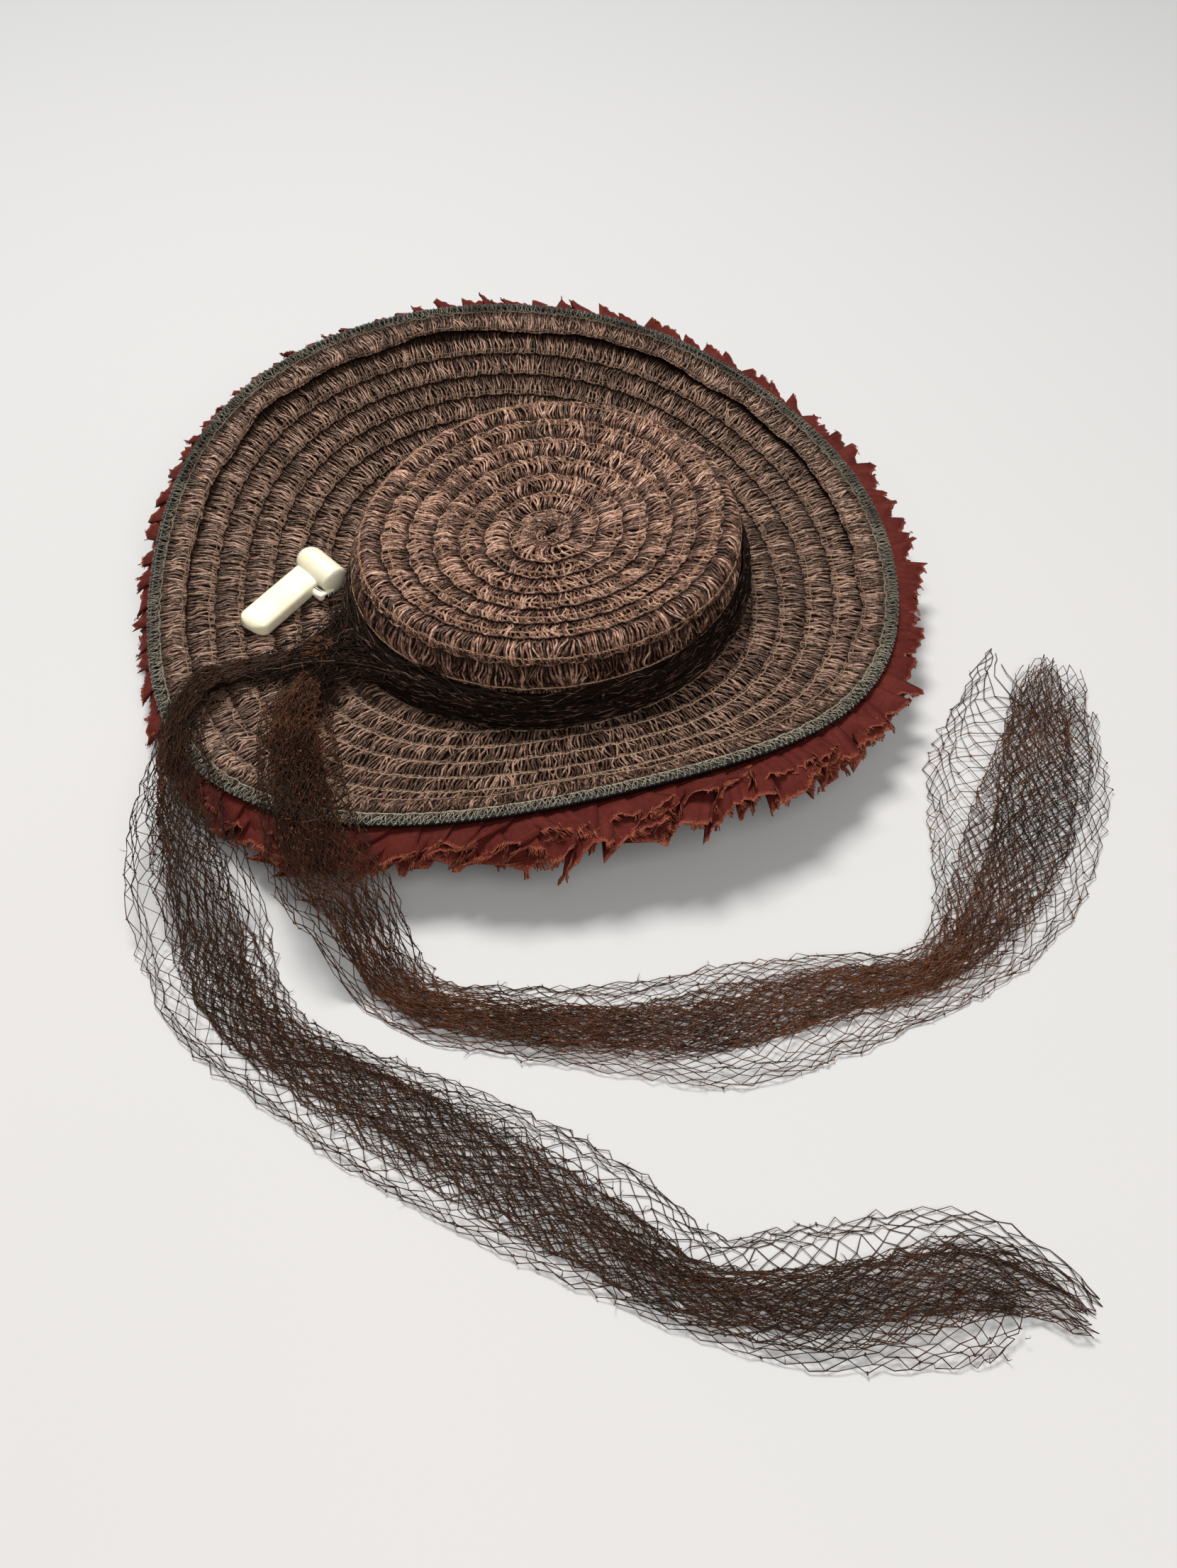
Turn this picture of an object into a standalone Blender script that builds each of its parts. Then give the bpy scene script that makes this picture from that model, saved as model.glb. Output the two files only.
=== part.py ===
"""A tilt hat of sewn straw braid, with a gathered veil, a ribbon frill and a moulded ornament.

The hat lies crown up on the rim of its head opening, and the two ends of its veil lie beside it. +Z is up,
the wearer's front is the near side at -Y, and bearings turn from +X towards +Y. All sizes are in millimetres
until a mesh is made.
"""
import math
from typing import NamedTuple

import bmesh
import bpy
import numpy as np
from mathutils import Euler, Matrix, Vector

MM = 0.001

# The crown's centre, set so that the middle of the whole part's base is the origin
CROWN_X = -24.6
CROWN_Y = 72.2

# Straw walls
WALL = 1.6            # thickness between the rows' raised edges
ROW_RELIEF = 1.0      # how far a row's overlapping edge stands proud
GAP = 0.35            # clearance between touching pieces
AROUND = 48           # segments round the hat

# Crown
TOP_ROWS = 7          # rows of braid on the flat top
DISH = 9.0            # how far the middle of the top sinks below its rim
CORNER = 6.0          # radius of the rim
RISER = 0.012         # share of a row that its step down takes up
WALL_STEPS = (0.06, 0.38, 0.70, 1.0)   # where the side wall's rows end, as shares of its height

# Brim
ROOT_SLOPE = 10.0     # degrees, where the brim leaves the crown
BRIM_ROWS = 7         # rows between the crown and the edge band
ROW_PITCH = 11.0      # width of a row of braid that shows
BAND_WIDTH = 14.0     # the wide row folded over the edge
BAND_TUCK = 4.0       # how far the last row goes under that band
ROW_LEAST = 0.9       # width left of a row where the brim is too short for it
WIRE_RADIUS = 1.2

# Ribbon frill
PLEATS = 46
PLEAT_DEPTH = 3.4     # from fold to fold at the ribbon's free edge
FRILL_THICK = 1.5
FRILL_ROOT = 12.0     # how far inside the edge it is sewn
FRILL_DROOP = 25.0    # degrees below the slope of the brim's edge
FRILL_ROOM = 1.3      # how much longer than the frill what lies over it must span

# Veil
BAND_FOOT = 4.4
BAND_TOP = 22.0
NET_THICK = 2.2       # the folded net's depth in a tail
NET_FOLD = 2.6        # how far its folds rise
NET_HOLES = 18        # gaps along each of the two open columns of a tail
NET_COLUMNS = 5       # strips across a tail: every second one is open
NET_CLEAR = 0.45      # clearance over the rows of the brim
NET_FEEL = (-6.0, -3.0, 0.0, 3.0, 6.0)   # how far before and behind a fold bears on what lies below
NET_FALL = 1.15       # its steepest fall from an edge, along the strip
NET_SAG = 0.22        # and across it


class Section(NamedTuple):
    """One section of the hat, on a plane through the crown's axis."""

    bearing: float       # degrees
    crown_radius: float
    crown_height: float
    wall_flare: float    # how much wider the side wall is at its foot
    brim_reach: float    # length along the brim from the crown to its edge
    edge_slope: float    # degrees, upwards at the edge
    frill_reach: float   # how far the ribbon shows past the edge
    veil_depth: float    # thickness of the net round the crown


SECTIONS = (
    #       bearing radius height flare reach slope frill veil
    Section(0, 74, 38, 2.0, 63, 23, 11, 4.0),
    Section(30, 75.5, 38, 2.0, 63, 21, 10, 4.0),
    Section(60, 77.5, 37, 2.0, 71, 26, 9, 4.0),
    Section(90, 77, 37, 2.0, 84, 31, 8, 4.0),
    Section(120, 74, 36, 2.0, 91, 35, 4, 4.0),
    Section(150, 72, 35, 2.5, 91, 32, 3, 3.4),
    Section(180, 74.5, 35, 2.5, 82, 17, 5, 2.2),
    Section(210, 78.5, 35, 5.0, 80, 6, 7, 4.4),
    Section(240, 78.5, 35, 5.0, 80, 20, 12, 5.0),
    Section(270, 76.5, 36, 3.0, 67, 37, 15, 4.6),
    Section(300, 75, 37, 2.0, 69, 40, 15, 4.2),
    Section(330, 74.5, 37, 2.0, 69, 25, 12, 4.0),
)


class TailSection(NamedTuple):
    """One section of a veil's end, measured from the crown's centre."""

    x: float
    y: float
    width: float


INNER_TAIL = (
    TailSection(-86, -58, 10),
    TailSection(-90, -72, 21),
    TailSection(-91, -88, 27),
    TailSection(-84, -120, 30),
    TailSection(-77, -146, 32),
    TailSection(-72, -159, 34),
    TailSection(-65, -171, 33),
    TailSection(-40, -198, 23),
    TailSection(-12, -205, 25),
    TailSection(28, -208, 34),
    TailSection(60, -207, 45),
    TailSection(95, -199, 38),
    TailSection(128, -190, 25),
    TailSection(148, -171, 38),
    TailSection(162, -142, 56),
    TailSection(172, -106, 65),
    TailSection(183, -70, 52),
    TailSection(193, -47, 45),
)

OUTER_TAIL = (
    TailSection(-95, -53, 9),
    TailSection(-107, -59, 14),
    TailSection(-122, -69, 18),
    TailSection(-130, -88, 17),
    TailSection(-130, -107, 20),
    TailSection(-127, -123, 30),
    TailSection(-123, -142, 36),
    TailSection(-114, -168, 43),
    TailSection(-100, -199, 38),
    TailSection(-80, -219, 30),
    TailSection(-46, -239, 38),
    TailSection(-10, -257, 43),
    TailSection(20, -273, 40),
    TailSection(46, -289, 30),
    TailSection(78, -293, 41),
    TailSection(120, -290, 46),
    TailSection(140, -294, 32),
    TailSection(152, -301, 20),
)

# Veil knot: its centre from the crown's, and its half sizes
KNOT_X = -86.5
KNOT_Y = -50.0
KNOT_Z = 10.7
KNOT_HALF = (8.4, 6.4, 5.4)
KNOT_HEADING = 30.0   # degrees, of its long side

# Ornament: the long bar's middle from the crown's centre, and how it lies on the brim
BAR_X = -104.4
BAR_Y = -18.5
BAR_Z = 8.4
BAR_HEADING = 61.0
BAR_PITCH = 5.0
BAR_ROLL = 7.0
BAR_LENGTH = 48.0
BAR_WIDTH = 13.0
BAR_DEPTH = 6.8
CROSS_RADIUS = 5.0
CROSS_LENGTH = 22.5
CROSS_RISE = 6.2      # the short bar's axis above the long bar's flat side
CROSS_TURN = -104.0   # degrees, from the long bar
CROSS_IN = 5.6        # how far the short bar's middle is from the long bar's end
CROSS_ASIDE = -2.4    # and from its middle line, towards the crown
END_ROUND = 4.5       # how far the long bar's ends round off
TAB_SIZE = (7.0, 6.0, 3.0)
TAB_IN = 13.5
TAB_TURN = -14.0


def around(column: str, bearing: np.ndarray) -> np.ndarray:
    """The smooth closed curve through one column of SECTIONS, at bearings in radians."""
    values = np.array([getattr(section, column) for section in SECTIONS], float)
    waves = np.fft.rfft(values) / len(values)
    order = np.arange(len(waves))
    share = np.where((order == 0) | (order == len(values) // 2), 1.0, 2.0)
    turns = np.exp(1j * order[:, None] * np.ravel(bearing)[None, :])
    return (share[:, None] * (waves[:, None] * turns).real).sum(0).reshape(np.shape(bearing))


def bearings(count: int) -> np.ndarray:
    """Evenly spaced bearings round the hat, in radians."""
    return np.arange(count) * 2 * math.pi / count


def from_axis(bearing: np.ndarray, radius: np.ndarray, height: np.ndarray) -> np.ndarray:
    """Points at a radius and a height, on the given bearings."""
    height = np.broadcast_to(height, np.shape(radius))
    return np.stack([radius * np.cos(bearing), radius * np.sin(bearing), height], axis=-1)


def crown_point(bearing: np.ndarray, place: float, lift: float) -> np.ndarray:
    """A point of the crown: place 0 to 1 crosses the top, 1 to 2 turns the rim, 2 to 3 goes down the wall.

    The top is a shallow dish whose depth falls off with the square of the radius, the rim is a quarter
    circle, and the wall is a straight cone. The lift is measured along the surface's normal.
    """
    rim = around("crown_radius", bearing)
    high = around("crown_height", bearing)
    flare = around("wall_flare", bearing)
    flat = rim - CORNER
    if place <= 1:
        radius = flat * place
        height = high - DISH * (1 - place ** 2)
        lean = -np.arctan(2 * DISH * place / flat)
    elif place <= 2:
        lean = np.full_like(rim, (place - 1) * math.pi / 2)
        radius = flat + CORNER * np.sin(lean)
        height = high - CORNER + CORNER * np.cos(lean)
    else:
        radius = rim + flare * (place - 2)
        height = (high - CORNER) * (3 - place)
        lean = np.full_like(rim, math.pi / 2)
    return from_axis(bearing, radius + lift * np.sin(lean), height + lift * np.cos(lean))


def brim_root(bearing: np.ndarray) -> np.ndarray:
    """The brim's inner radius, just outside the crown's foot."""
    return around("crown_radius", bearing) + around("wall_flare", bearing) + ROW_RELIEF + GAP


def brim_profile(bearing: np.ndarray, reach: np.ndarray, lift: float) -> tuple:
    """Radius and height of the brim at a length along it, lifted along its normal.

    The slope grows evenly from the root to the edge, so the profile is an arc of a circle.
    """
    start = math.radians(ROOT_SLOPE)
    bend = (np.radians(around("edge_slope", bearing)) - start) / around("brim_reach", bearing)
    middle = start + bend * reach / 2
    chord = reach * np.sinc(bend * reach / 2 / math.pi)
    lean = start + bend * reach
    radius = brim_root(bearing) + chord * np.cos(middle) - lift * np.sin(lean)
    height = GAP + chord * np.sin(middle) + lift * np.cos(lean)
    return radius, height


def brim_point(bearing: np.ndarray, reach: np.ndarray, lift: float) -> np.ndarray:
    """A point of the brim, at a length along it and a lift above its underside."""
    return from_axis(bearing, *brim_profile(bearing, reach, lift))


def new_object(name: str, vertices: np.ndarray, faces: list, finish: tuple) -> bpy.types.Object:
    """Adds a mesh whose vertices are in millimetres from the crown's centre."""
    mesh = bpy.data.meshes.new(name)
    placed = (np.asarray(vertices) + (CROWN_X, CROWN_Y, 0)) * MM
    mesh.from_pydata(placed.tolist(), [], faces)
    mesh.update()
    part = bpy.data.objects.new(name, mesh)
    bpy.context.collection.objects.link(part)
    mesh.materials.append(material(name, *finish))
    mesh.shade_smooth()
    mesh.set_sharp_from_angle(angle=math.radians(40))
    return part


def material(name: str, colour: tuple, roughness: float) -> bpy.types.Material:
    """A plain surface for one piece."""
    made = bpy.data.materials.new(name)
    made.use_nodes = True
    shader = made.node_tree.nodes["Principled BSDF"]
    shader.inputs["Base Color"].default_value = (*colour, 1.0)
    shader.inputs["Roughness"].default_value = roughness
    return made


def outwards(part: bpy.types.Object) -> None:
    """Turns every face of a closed body outwards."""
    work = bmesh.new()
    work.from_mesh(part.data)
    bmesh.ops.recalc_face_normals(work, faces=work.faces)
    work.to_mesh(part.data)
    work.free()


def wall_of_rings(name: str, rings: list, finish: tuple, poles: tuple = ()) -> bpy.types.Object:
    """Joins rings of points into one closed wall.

    With two poles, the first and last ring close on them. Without, the last ring joins the first.
    """
    count = len(rings[0])
    vertices = np.concatenate([*rings, *(np.atleast_2d(pole) for pole in poles)])
    pairs = [(ring, ring + 1) for ring in range(len(rings) - 1)]
    if not poles:
        pairs.append((len(rings) - 1, 0))
    faces = []
    for first, second in pairs:
        for step in range(count):
            after = (step + 1) % count
            faces.append((first * count + step, first * count + after,
                          second * count + after, second * count + step))
    for pole, ring in zip(range(len(poles)), (0, len(rings) - 1)):
        tip = len(rings) * count + pole
        faces += [(tip, ring * count + step, ring * count + (step + 1) % count) for step in range(count)]
    part = new_object(name, vertices, faces, finish)
    outwards(part)
    return part


def make_crown() -> None:
    """The crown: rows whose outer edges overlap the next row, on a thin wall open below."""
    bearing = bearings(AROUND)
    ends = [(row + 1) / TOP_ROWS for row in range(TOP_ROWS)] + [2 + step for step in WALL_STEPS]
    rings = []
    for start, end in zip([0.0] + ends[:-1], ends):
        if start > 0:
            rings.append(crown_point(bearing, start + RISER, 0))
        if start < 1 < end or start == 1:
            rings.append(crown_point(bearing, 1.5, ROW_RELIEF / 2))
        last = end == ends[-1]
        rings.append(crown_point(bearing, end if last else end - RISER, 0 if last else ROW_RELIEF))
    inner = (3.0, 2.4, 1.9, 1.3, 0.9, 0.45)
    rings += [crown_point(bearing, place, -WALL) for place in inner]
    high = float(np.mean(around("crown_height", bearing))) - DISH
    poles = ((0, 0, high + ROW_RELIEF / 2), (0, 0, high - WALL))
    wall_of_rings("crown", rings, ((0.16, 0.085, 0.055), 0.55), poles)


def row_starts(bearing: np.ndarray) -> list:
    """Where each row of the brim ends under the next one out, from the crown to the edge band.

    Rows are counted inwards from the edge, so on the short side the inner ones shrink to nothing.
    """
    reach = around("brim_reach", bearing)
    lines = []
    for row in range(BRIM_ROWS):
        inwards = BRIM_ROWS - 1 - row
        line = reach - BAND_WIDTH - ROW_PITCH * inwards
        lines.append(np.maximum(line, (row + 1) * ROW_LEAST))
    return lines


def make_brim() -> None:
    """The brim: rows whose inner edges overlap the row inside them, on a thin upturned wall."""
    bearing = bearings(AROUND)
    reach = around("brim_reach", bearing)
    rings = [brim_point(bearing, 0 * reach, WALL)]
    lines = row_starts(bearing)
    for row, line in enumerate(lines):
        before = lines[row - 1] if row else 0 * reach
        after = lines[row + 1] if row + 1 < BRIM_ROWS else line + BAND_TUCK
        relief = ROW_RELIEF * np.clip((after - line) / ROW_PITCH, 0, 1)
        rings.append(brim_point(bearing, line - 0.25 * np.minimum(1, line - before), WALL))
        if row + 1 < BRIM_ROWS:
            rings.append(brim_point(bearing, line, WALL + relief))
    outer = lines[-1] + BAND_TUCK
    rings.append(brim_point(bearing, outer, WALL))
    rings += [brim_point(bearing, outer * share, 0) for share in (1.0, 0.67, 0.33, 0.0)]
    wall_of_rings("brim", rings, ((0.105, 0.062, 0.042), 0.6))


def make_edge_band() -> None:
    """The wide last row, folded over the brim's edge, with a raised wavy inner edge."""
    bearing = bearings(AROUND)
    edge = around("brim_reach", bearing)
    wave = 0.5 * np.sin(11 * bearing) + 0.3 * np.sin(17 * bearing + 1)
    under = WALL + ROW_RELIEF + GAP
    # Distance inside the edge, lift, and share of the wave, round the band's outline
    outline = (
        (BAND_WIDTH, under + 0.9, 1), (BAND_WIDTH, under + 2.1, 1), (BAND_WIDTH - 3, under + 1.9, 0.5),
        (7.0, 3.7, 0), (3.8, 3.1, 0), (2.75, 2.0, 0), (3.3, 0.7, 0), (5.0, 0.0, 0),
        (BAND_WIDTH - BAND_TUCK - GAP, 0.0, 0), (BAND_WIDTH - BAND_TUCK - GAP, under - 0.7, 0),
    )
    rings = [brim_point(bearing, edge - inside, lift + share * wave) for inside, lift, share in outline]
    wall_of_rings("brim_edge_band", rings, ((0.12, 0.07, 0.048), 0.6))


def make_edge_wire() -> None:
    """The satin covered wire sewn along the very edge."""
    bearing = bearings(AROUND)
    edge = around("brim_reach", bearing)
    rings = []
    for turn in bearings(6):
        out = WIRE_RADIUS * math.cos(turn)
        rise = WIRE_RADIUS * math.sin(turn)
        rings.append(brim_point(bearing, edge - WIRE_RADIUS + out, 1.6 + rise))
    wall_of_rings("edge_wire", rings, ((0.012, 0.013, 0.012), 0.35))


def frill_point(bearing: np.ndarray, past: np.ndarray, lift: np.ndarray) -> np.ndarray:
    """A point of the ribbon, at a length past the brim's edge (less than 0 is under the brim)."""
    edge = around("brim_reach", bearing)
    radius, height = brim_profile(bearing, edge + np.minimum(past, 0), lift)
    lean = np.radians(around("edge_slope", bearing) - FRILL_DROOP)
    outside = np.maximum(past, 0)
    return from_axis(bearing, radius + outside * np.cos(lean), height + outside * np.sin(lean))


def make_frill() -> None:
    """The pleated ribbon: each pleat rises slowly and falls back quickly, more so at its free edge."""
    per_pleat = 4
    bearing = bearings(PLEATS * per_pleat)
    phase = np.arange(len(bearing)) % per_pleat / (per_pleat - 1)
    reach = around("frill_reach", bearing)
    uneven = 1 + 0.12 * np.sin(5 * bearing) + 0.1 * np.sin(13 * bearing + 2)
    rings = []
    for share, side in ((0.0, 0), (0.5, 0), (1.0, 0), (1.0, 1), (0.5, 1), (0.0, 1)):
        past = -FRILL_ROOT + share * (FRILL_ROOT + reach * uneven)
        depth = 0.6 + (PLEAT_DEPTH - 0.6) * share
        lift = -GAP - depth * (1 - phase) - 0.4 * share - FRILL_THICK * side
        rings.append(frill_point(bearing, past, lift))
    wall_of_rings("ribbon_ruffle", rings, ((0.13, 0.022, 0.018), 0.7))


def make_veil_band() -> None:
    """The net gathered round the crown's side, in three soft folds."""
    bearing = bearings(AROUND)
    rim = around("crown_radius", bearing)
    high = around("crown_height", bearing) - CORNER
    flare = around("wall_flare", bearing)
    depth = around("veil_depth", bearing)
    sway = np.sin(5 * bearing + 0.6) + 0.5 * np.sin(9 * bearing)
    clear = ROW_RELIEF + GAP
    # Share of the height, share of the depth, round the band's outline
    outline = ((0.0, 0.0), (0.5, 0.0), (1.0, 0.0), (0.97, 0.5), (0.82, 0.8), (0.66, 0.62),
               (0.46, 0.95), (0.32, 0.78), (0.14, 1.0), (0.0, 0.7))
    rings = []
    for up, out in outline:
        height = BAND_FOOT + up * (BAND_TOP - BAND_FOOT + 0.8 * sway)
        radius = rim + flare * (1 - height / high) + clear + out * depth
        rings.append(from_axis(bearing, radius, height))
    wall_of_rings("veil_band", rings, ((0.028, 0.016, 0.012), 0.8))


def ground(x: float, y: float) -> float:
    """The height of what a tail lies on at a place: the brim and its frill, or the surface below."""
    bearing = np.array([math.atan2(y, x)])
    radius = math.hypot(x, y)
    edge = float(around("brim_reach", bearing)[0])
    frill = float(around("frill_reach", bearing)[0])
    lines = [(0.0, WALL + ROW_RELIEF), (edge - BAND_WIDTH - 2, WALL + ROW_RELIEF),
             (edge - BAND_WIDTH, 5.8), (edge - 7, 4.6), (edge, 3.4)]
    stops = []
    for reach, lift in lines:
        out, rise = brim_profile(bearing, np.array([reach]), lift)
        stops.append((float(out[0]), float(rise[0])))
    tip = frill_point(bearing, np.array([frill * FRILL_ROOM]), 1.5)[0]
    stops.append((math.hypot(tip[0], tip[1]), tip[2]))
    stops.append((stops[-1][0] + 0.5, 0.0))
    return float(np.interp(radius, [stop[0] for stop in stops], [stop[1] for stop in stops]))


def smooth(values: np.ndarray, count: int) -> np.ndarray:
    """A smooth curve through rows of values, read at evenly spaced rows between the first and the last."""
    values = np.asarray(values, float)
    padded = np.concatenate([2 * values[:1] - values[1:2], values, 2 * values[-1:] - values[-2:-1]])
    place = np.linspace(0, len(values) - 1, count)
    first = np.minimum(place.astype(int), len(values) - 2)
    share = (place - first)[:, None]
    before, here, after, beyond = (padded[first + step] for step in range(4))
    return 0.5 * (2 * here + (after - before) * share
                  + (2 * before - 5 * here + 4 * after - beyond) * share ** 2
                  + (3 * here - before - 3 * after + beyond) * share ** 3)


def drape(base: np.ndarray, along: np.ndarray, across: np.ndarray) -> np.ndarray:
    """Raises the heights of a net so that it falls from what carries it no more steeply than net does."""
    base = base.copy()
    count = len(base)
    for _ in range(2):
        for step in range(1, count):
            base[step] = np.maximum(base[step], base[step - 1] - NET_FALL * along[step - 1])
        for step in range(count - 2, -1, -1):
            base[step] = np.maximum(base[step], base[step + 1] - NET_FALL * along[step])
        for column in range(1, base.shape[1]):
            base[:, column] = np.maximum(base[:, column], base[:, column - 1] - NET_SAG * across)
        for column in range(base.shape[1] - 2, -1, -1):
            base[:, column] = np.maximum(base[:, column], base[:, column + 1] - NET_SAG * across)
    return base


def net_sheet(name: str, sections: tuple, finish: tuple) -> None:
    """A strip of folded net along a row of sections, pierced in its two open columns."""
    stations = 2 * NET_HOLES + 2
    path = smooth(np.array(sections), stations)
    ahead = np.gradient(path[:, :2], axis=0)
    ahead /= np.linalg.norm(ahead, axis=1)[:, None]
    side = np.stack([ahead[:, 1], -ahead[:, 0]], axis=1)
    columns = np.arange(NET_COLUMNS + 1)
    across = (columns / NET_COLUMNS - 0.5) * path[:, 2:]
    plan = path[:, None, :2] + side[:, None, :] * across[:, :, None]
    base = np.zeros(across.shape)
    for station, column in np.ndindex(*base.shape):
        feel = (plan[station, column] + ahead[station] * step for step in NET_FEEL)
        floor = max(ground(*place) for place in feel)
        base[station, column] = floor + NET_CLEAR if floor > 0 else 0.0
    base = drape(base, np.linalg.norm(np.diff(path[:, :2], axis=0), axis=1), path[:, 2] / NET_COLUMNS)
    swing = 0.45 * np.arange(stations)[:, None]
    base += NET_FOLD * (0.5 + 0.5 * np.cos(math.pi * columns + swing)) * (columns % 2)
    under = np.concatenate([plan, base[:, :, None]], axis=2).reshape(-1, 3)
    across_count = NET_COLUMNS + 1
    offset = len(under)
    faces = []

    def corner(station: int, column: int, upper: bool) -> int:
        return station * across_count + column + (offset if upper else 0)

    def solid(station: int, column: int) -> bool:
        inside = 0 <= station < stations - 1 and 0 <= column < NET_COLUMNS
        return inside and not (station % 2 and column % 2)

    for station in range(stations - 1):
        for column in range(NET_COLUMNS):
            if not solid(station, column):
                continue
            loop = ((station, column), (station, column + 1), (station + 1, column + 1), (station + 1, column))
            faces.append(tuple(corner(*place, True) for place in loop))
            faces.append(tuple(corner(*place, False) for place in reversed(loop)))
            beside = ((station - 1, column), (station, column + 1), (station + 1, column), (station, column - 1))
            for edge, neighbour in enumerate(beside):
                if not solid(*neighbour):
                    here, there = loop[edge], loop[(edge + 1) % 4]
                    faces.append((corner(*here, False), corner(*there, False),
                                  corner(*there, True), corner(*here, True)))
    outwards(new_object(name, np.concatenate([under, under + (0, 0, NET_THICK)]), faces, finish))


def make_knot() -> None:
    """The drawn-together net beside the crown: a flattened ball with gathers running over it."""
    turns = bearings(16)
    heading = math.radians(KNOT_HEADING)
    rings = []
    for rise in np.linspace(-75, 75, 7):
        level = math.radians(rise)
        gather = 1 + 0.06 * np.cos(8 * turns)
        along = KNOT_HALF[0] * math.cos(level) * gather * np.cos(turns)
        across = KNOT_HALF[1] * math.cos(level) * gather * np.sin(turns)
        x = KNOT_X + along * math.cos(heading) - across * math.sin(heading)
        y = KNOT_Y + along * math.sin(heading) + across * math.cos(heading)
        rings.append(np.stack([x, y, np.full_like(x, KNOT_Z + KNOT_HALF[2] * math.sin(level))], axis=1))
    poles = ((KNOT_X, KNOT_Y, KNOT_Z - KNOT_HALF[2]), (KNOT_X, KNOT_Y, KNOT_Z + KNOT_HALF[2]))
    wall_of_rings("veil_knot", rings, ((0.028, 0.016, 0.012), 0.8), poles)


def bar_rings(length: float, outline: list, ends: tuple) -> list:
    """Rings along X for a bar whose outline shrinks towards each end as on a quarter circle."""
    rings = []
    for side, reach in zip((-1, 1), ends):
        steps = np.linspace(80, 0, 4) if side < 0 else np.linspace(0, 80, 4)
        for step in np.radians(steps):
            x = side * (length / 2 - reach + reach * math.sin(step))
            rings.append(np.array([(x, y * math.cos(step), z * math.cos(step)) for y, z in outline]))
    return rings


def rounded_bar(name: str, rings: list, place: Matrix, finish: tuple) -> bpy.types.Object:
    """A closed bar made of rings along its own X, put in its place."""
    placed = [np.array([place @ Vector(point) for point in ring]) for ring in rings]
    poles = tuple(ring.mean(0) for ring in (placed[0], placed[-1]))
    return wall_of_rings(name, placed, finish, poles)


def make_ornament() -> None:
    """The moulding: a long bar with a flat underside and a rounded top, and a short bar across its end."""
    finish = ((0.83, 0.80, 0.64), 0.3)
    tilt = Euler([math.radians(turn) for turn in (BAR_ROLL, BAR_PITCH, BAR_HEADING)])
    lie = Matrix.Translation(Vector((BAR_X, BAR_Y, BAR_Z))) @ tilt.to_matrix().to_4x4()
    half, middle = BAR_WIDTH / 2, BAR_DEPTH / 2
    shoulder = half - 2.2
    section = [(0.8 - half, -middle), (half - 0.8, -middle), (half, 1.5 - middle), (half, 1.2),
               (shoulder, middle - 0.4), (0, middle), (-shoulder, middle - 0.4), (-half, 1.2),
               (-half, 1.5 - middle)]
    bar = bar_rings(BAR_LENGTH, section, (END_ROUND, END_ROUND))
    part = rounded_bar("ornament", bar, lie @ Matrix.Translation(Vector((0, 0, middle))), finish)

    circle = [(CROSS_RADIUS * math.cos(turn), CROSS_RADIUS * math.sin(turn)) for turn in bearings(12)]
    across = Matrix.Translation(Vector((BAR_LENGTH / 2 - CROSS_IN, CROSS_ASIDE, CROSS_RISE)))
    across @= Matrix.Rotation(math.radians(CROSS_TURN), 4, "Z")
    long, wide, thick = TAB_SIZE
    plate = [(-wide / 2, -thick / 2), (wide / 2, -thick / 2), (wide / 2, thick / 2), (-wide / 2, thick / 2)]
    beside = Matrix.Translation(Vector((BAR_LENGTH / 2 - TAB_IN, -half - thick / 2, thick)))
    beside @= Matrix.Rotation(math.radians(TAB_TURN), 4, "Z")
    added = (
        ("short_bar", bar_rings(CROSS_LENGTH, circle, (CROSS_RADIUS, 0.8)), across),
        ("tab", bar_rings(long, plate, (0.6, 0.6)), beside),
    )
    for name, rings, place in added:
        addition = rounded_bar(name, rings, lie @ place, finish)
        addition.hide_render = True
        addition.display_type = "WIRE"
        joined = part.modifiers.new(name, "BOOLEAN")
        joined.operation = "UNION"
        joined.object = addition


def main() -> None:
    """Clears the scene and makes every piece."""
    for leftover in list(bpy.data.objects):
        bpy.data.objects.remove(leftover)
    make_crown()
    make_brim()
    make_edge_band()
    make_edge_wire()
    make_frill()
    make_veil_band()
    make_knot()
    net_sheet("veil_tail_inner", INNER_TAIL, ((0.05, 0.024, 0.016), 0.8))
    net_sheet("veil_tail_outer", OUTER_TAIL, ((0.035, 0.02, 0.015), 0.8))
    make_ornament()


main()
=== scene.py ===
"""Dresses a tilt hat of sewn straw braid: strands, stitches, satin cord, pleated ribbon, net and moulding.

Sizes are in millimetres from the crown's centre until a mesh is made. Bearings turn from +X towards +Y, and
the wearer's front is the near side at -Y. Every surface is worked out as whole numpy arrays.
"""

import logging
import math
from dataclasses import dataclass, field
from enum import Enum
from typing import Any, Callable, NamedTuple, Sequence

import bpy
import numpy as np
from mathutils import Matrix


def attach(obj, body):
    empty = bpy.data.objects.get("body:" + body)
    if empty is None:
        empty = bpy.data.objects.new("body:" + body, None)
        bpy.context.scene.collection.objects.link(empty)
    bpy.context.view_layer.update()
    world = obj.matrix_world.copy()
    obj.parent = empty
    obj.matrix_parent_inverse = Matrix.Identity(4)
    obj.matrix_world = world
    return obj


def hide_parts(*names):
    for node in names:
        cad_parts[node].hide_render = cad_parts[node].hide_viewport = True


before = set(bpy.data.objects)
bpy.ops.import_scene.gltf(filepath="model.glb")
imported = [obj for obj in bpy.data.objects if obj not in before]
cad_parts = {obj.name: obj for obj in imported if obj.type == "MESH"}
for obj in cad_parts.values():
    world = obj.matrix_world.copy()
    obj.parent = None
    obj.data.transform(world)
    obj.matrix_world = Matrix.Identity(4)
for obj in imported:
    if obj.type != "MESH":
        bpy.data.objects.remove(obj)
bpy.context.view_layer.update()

LOG = logging.getLogger("tilt_hat")
MM = 0.001
CROWN_PLACE = (-24.6, 72.2, 0.0)
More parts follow.
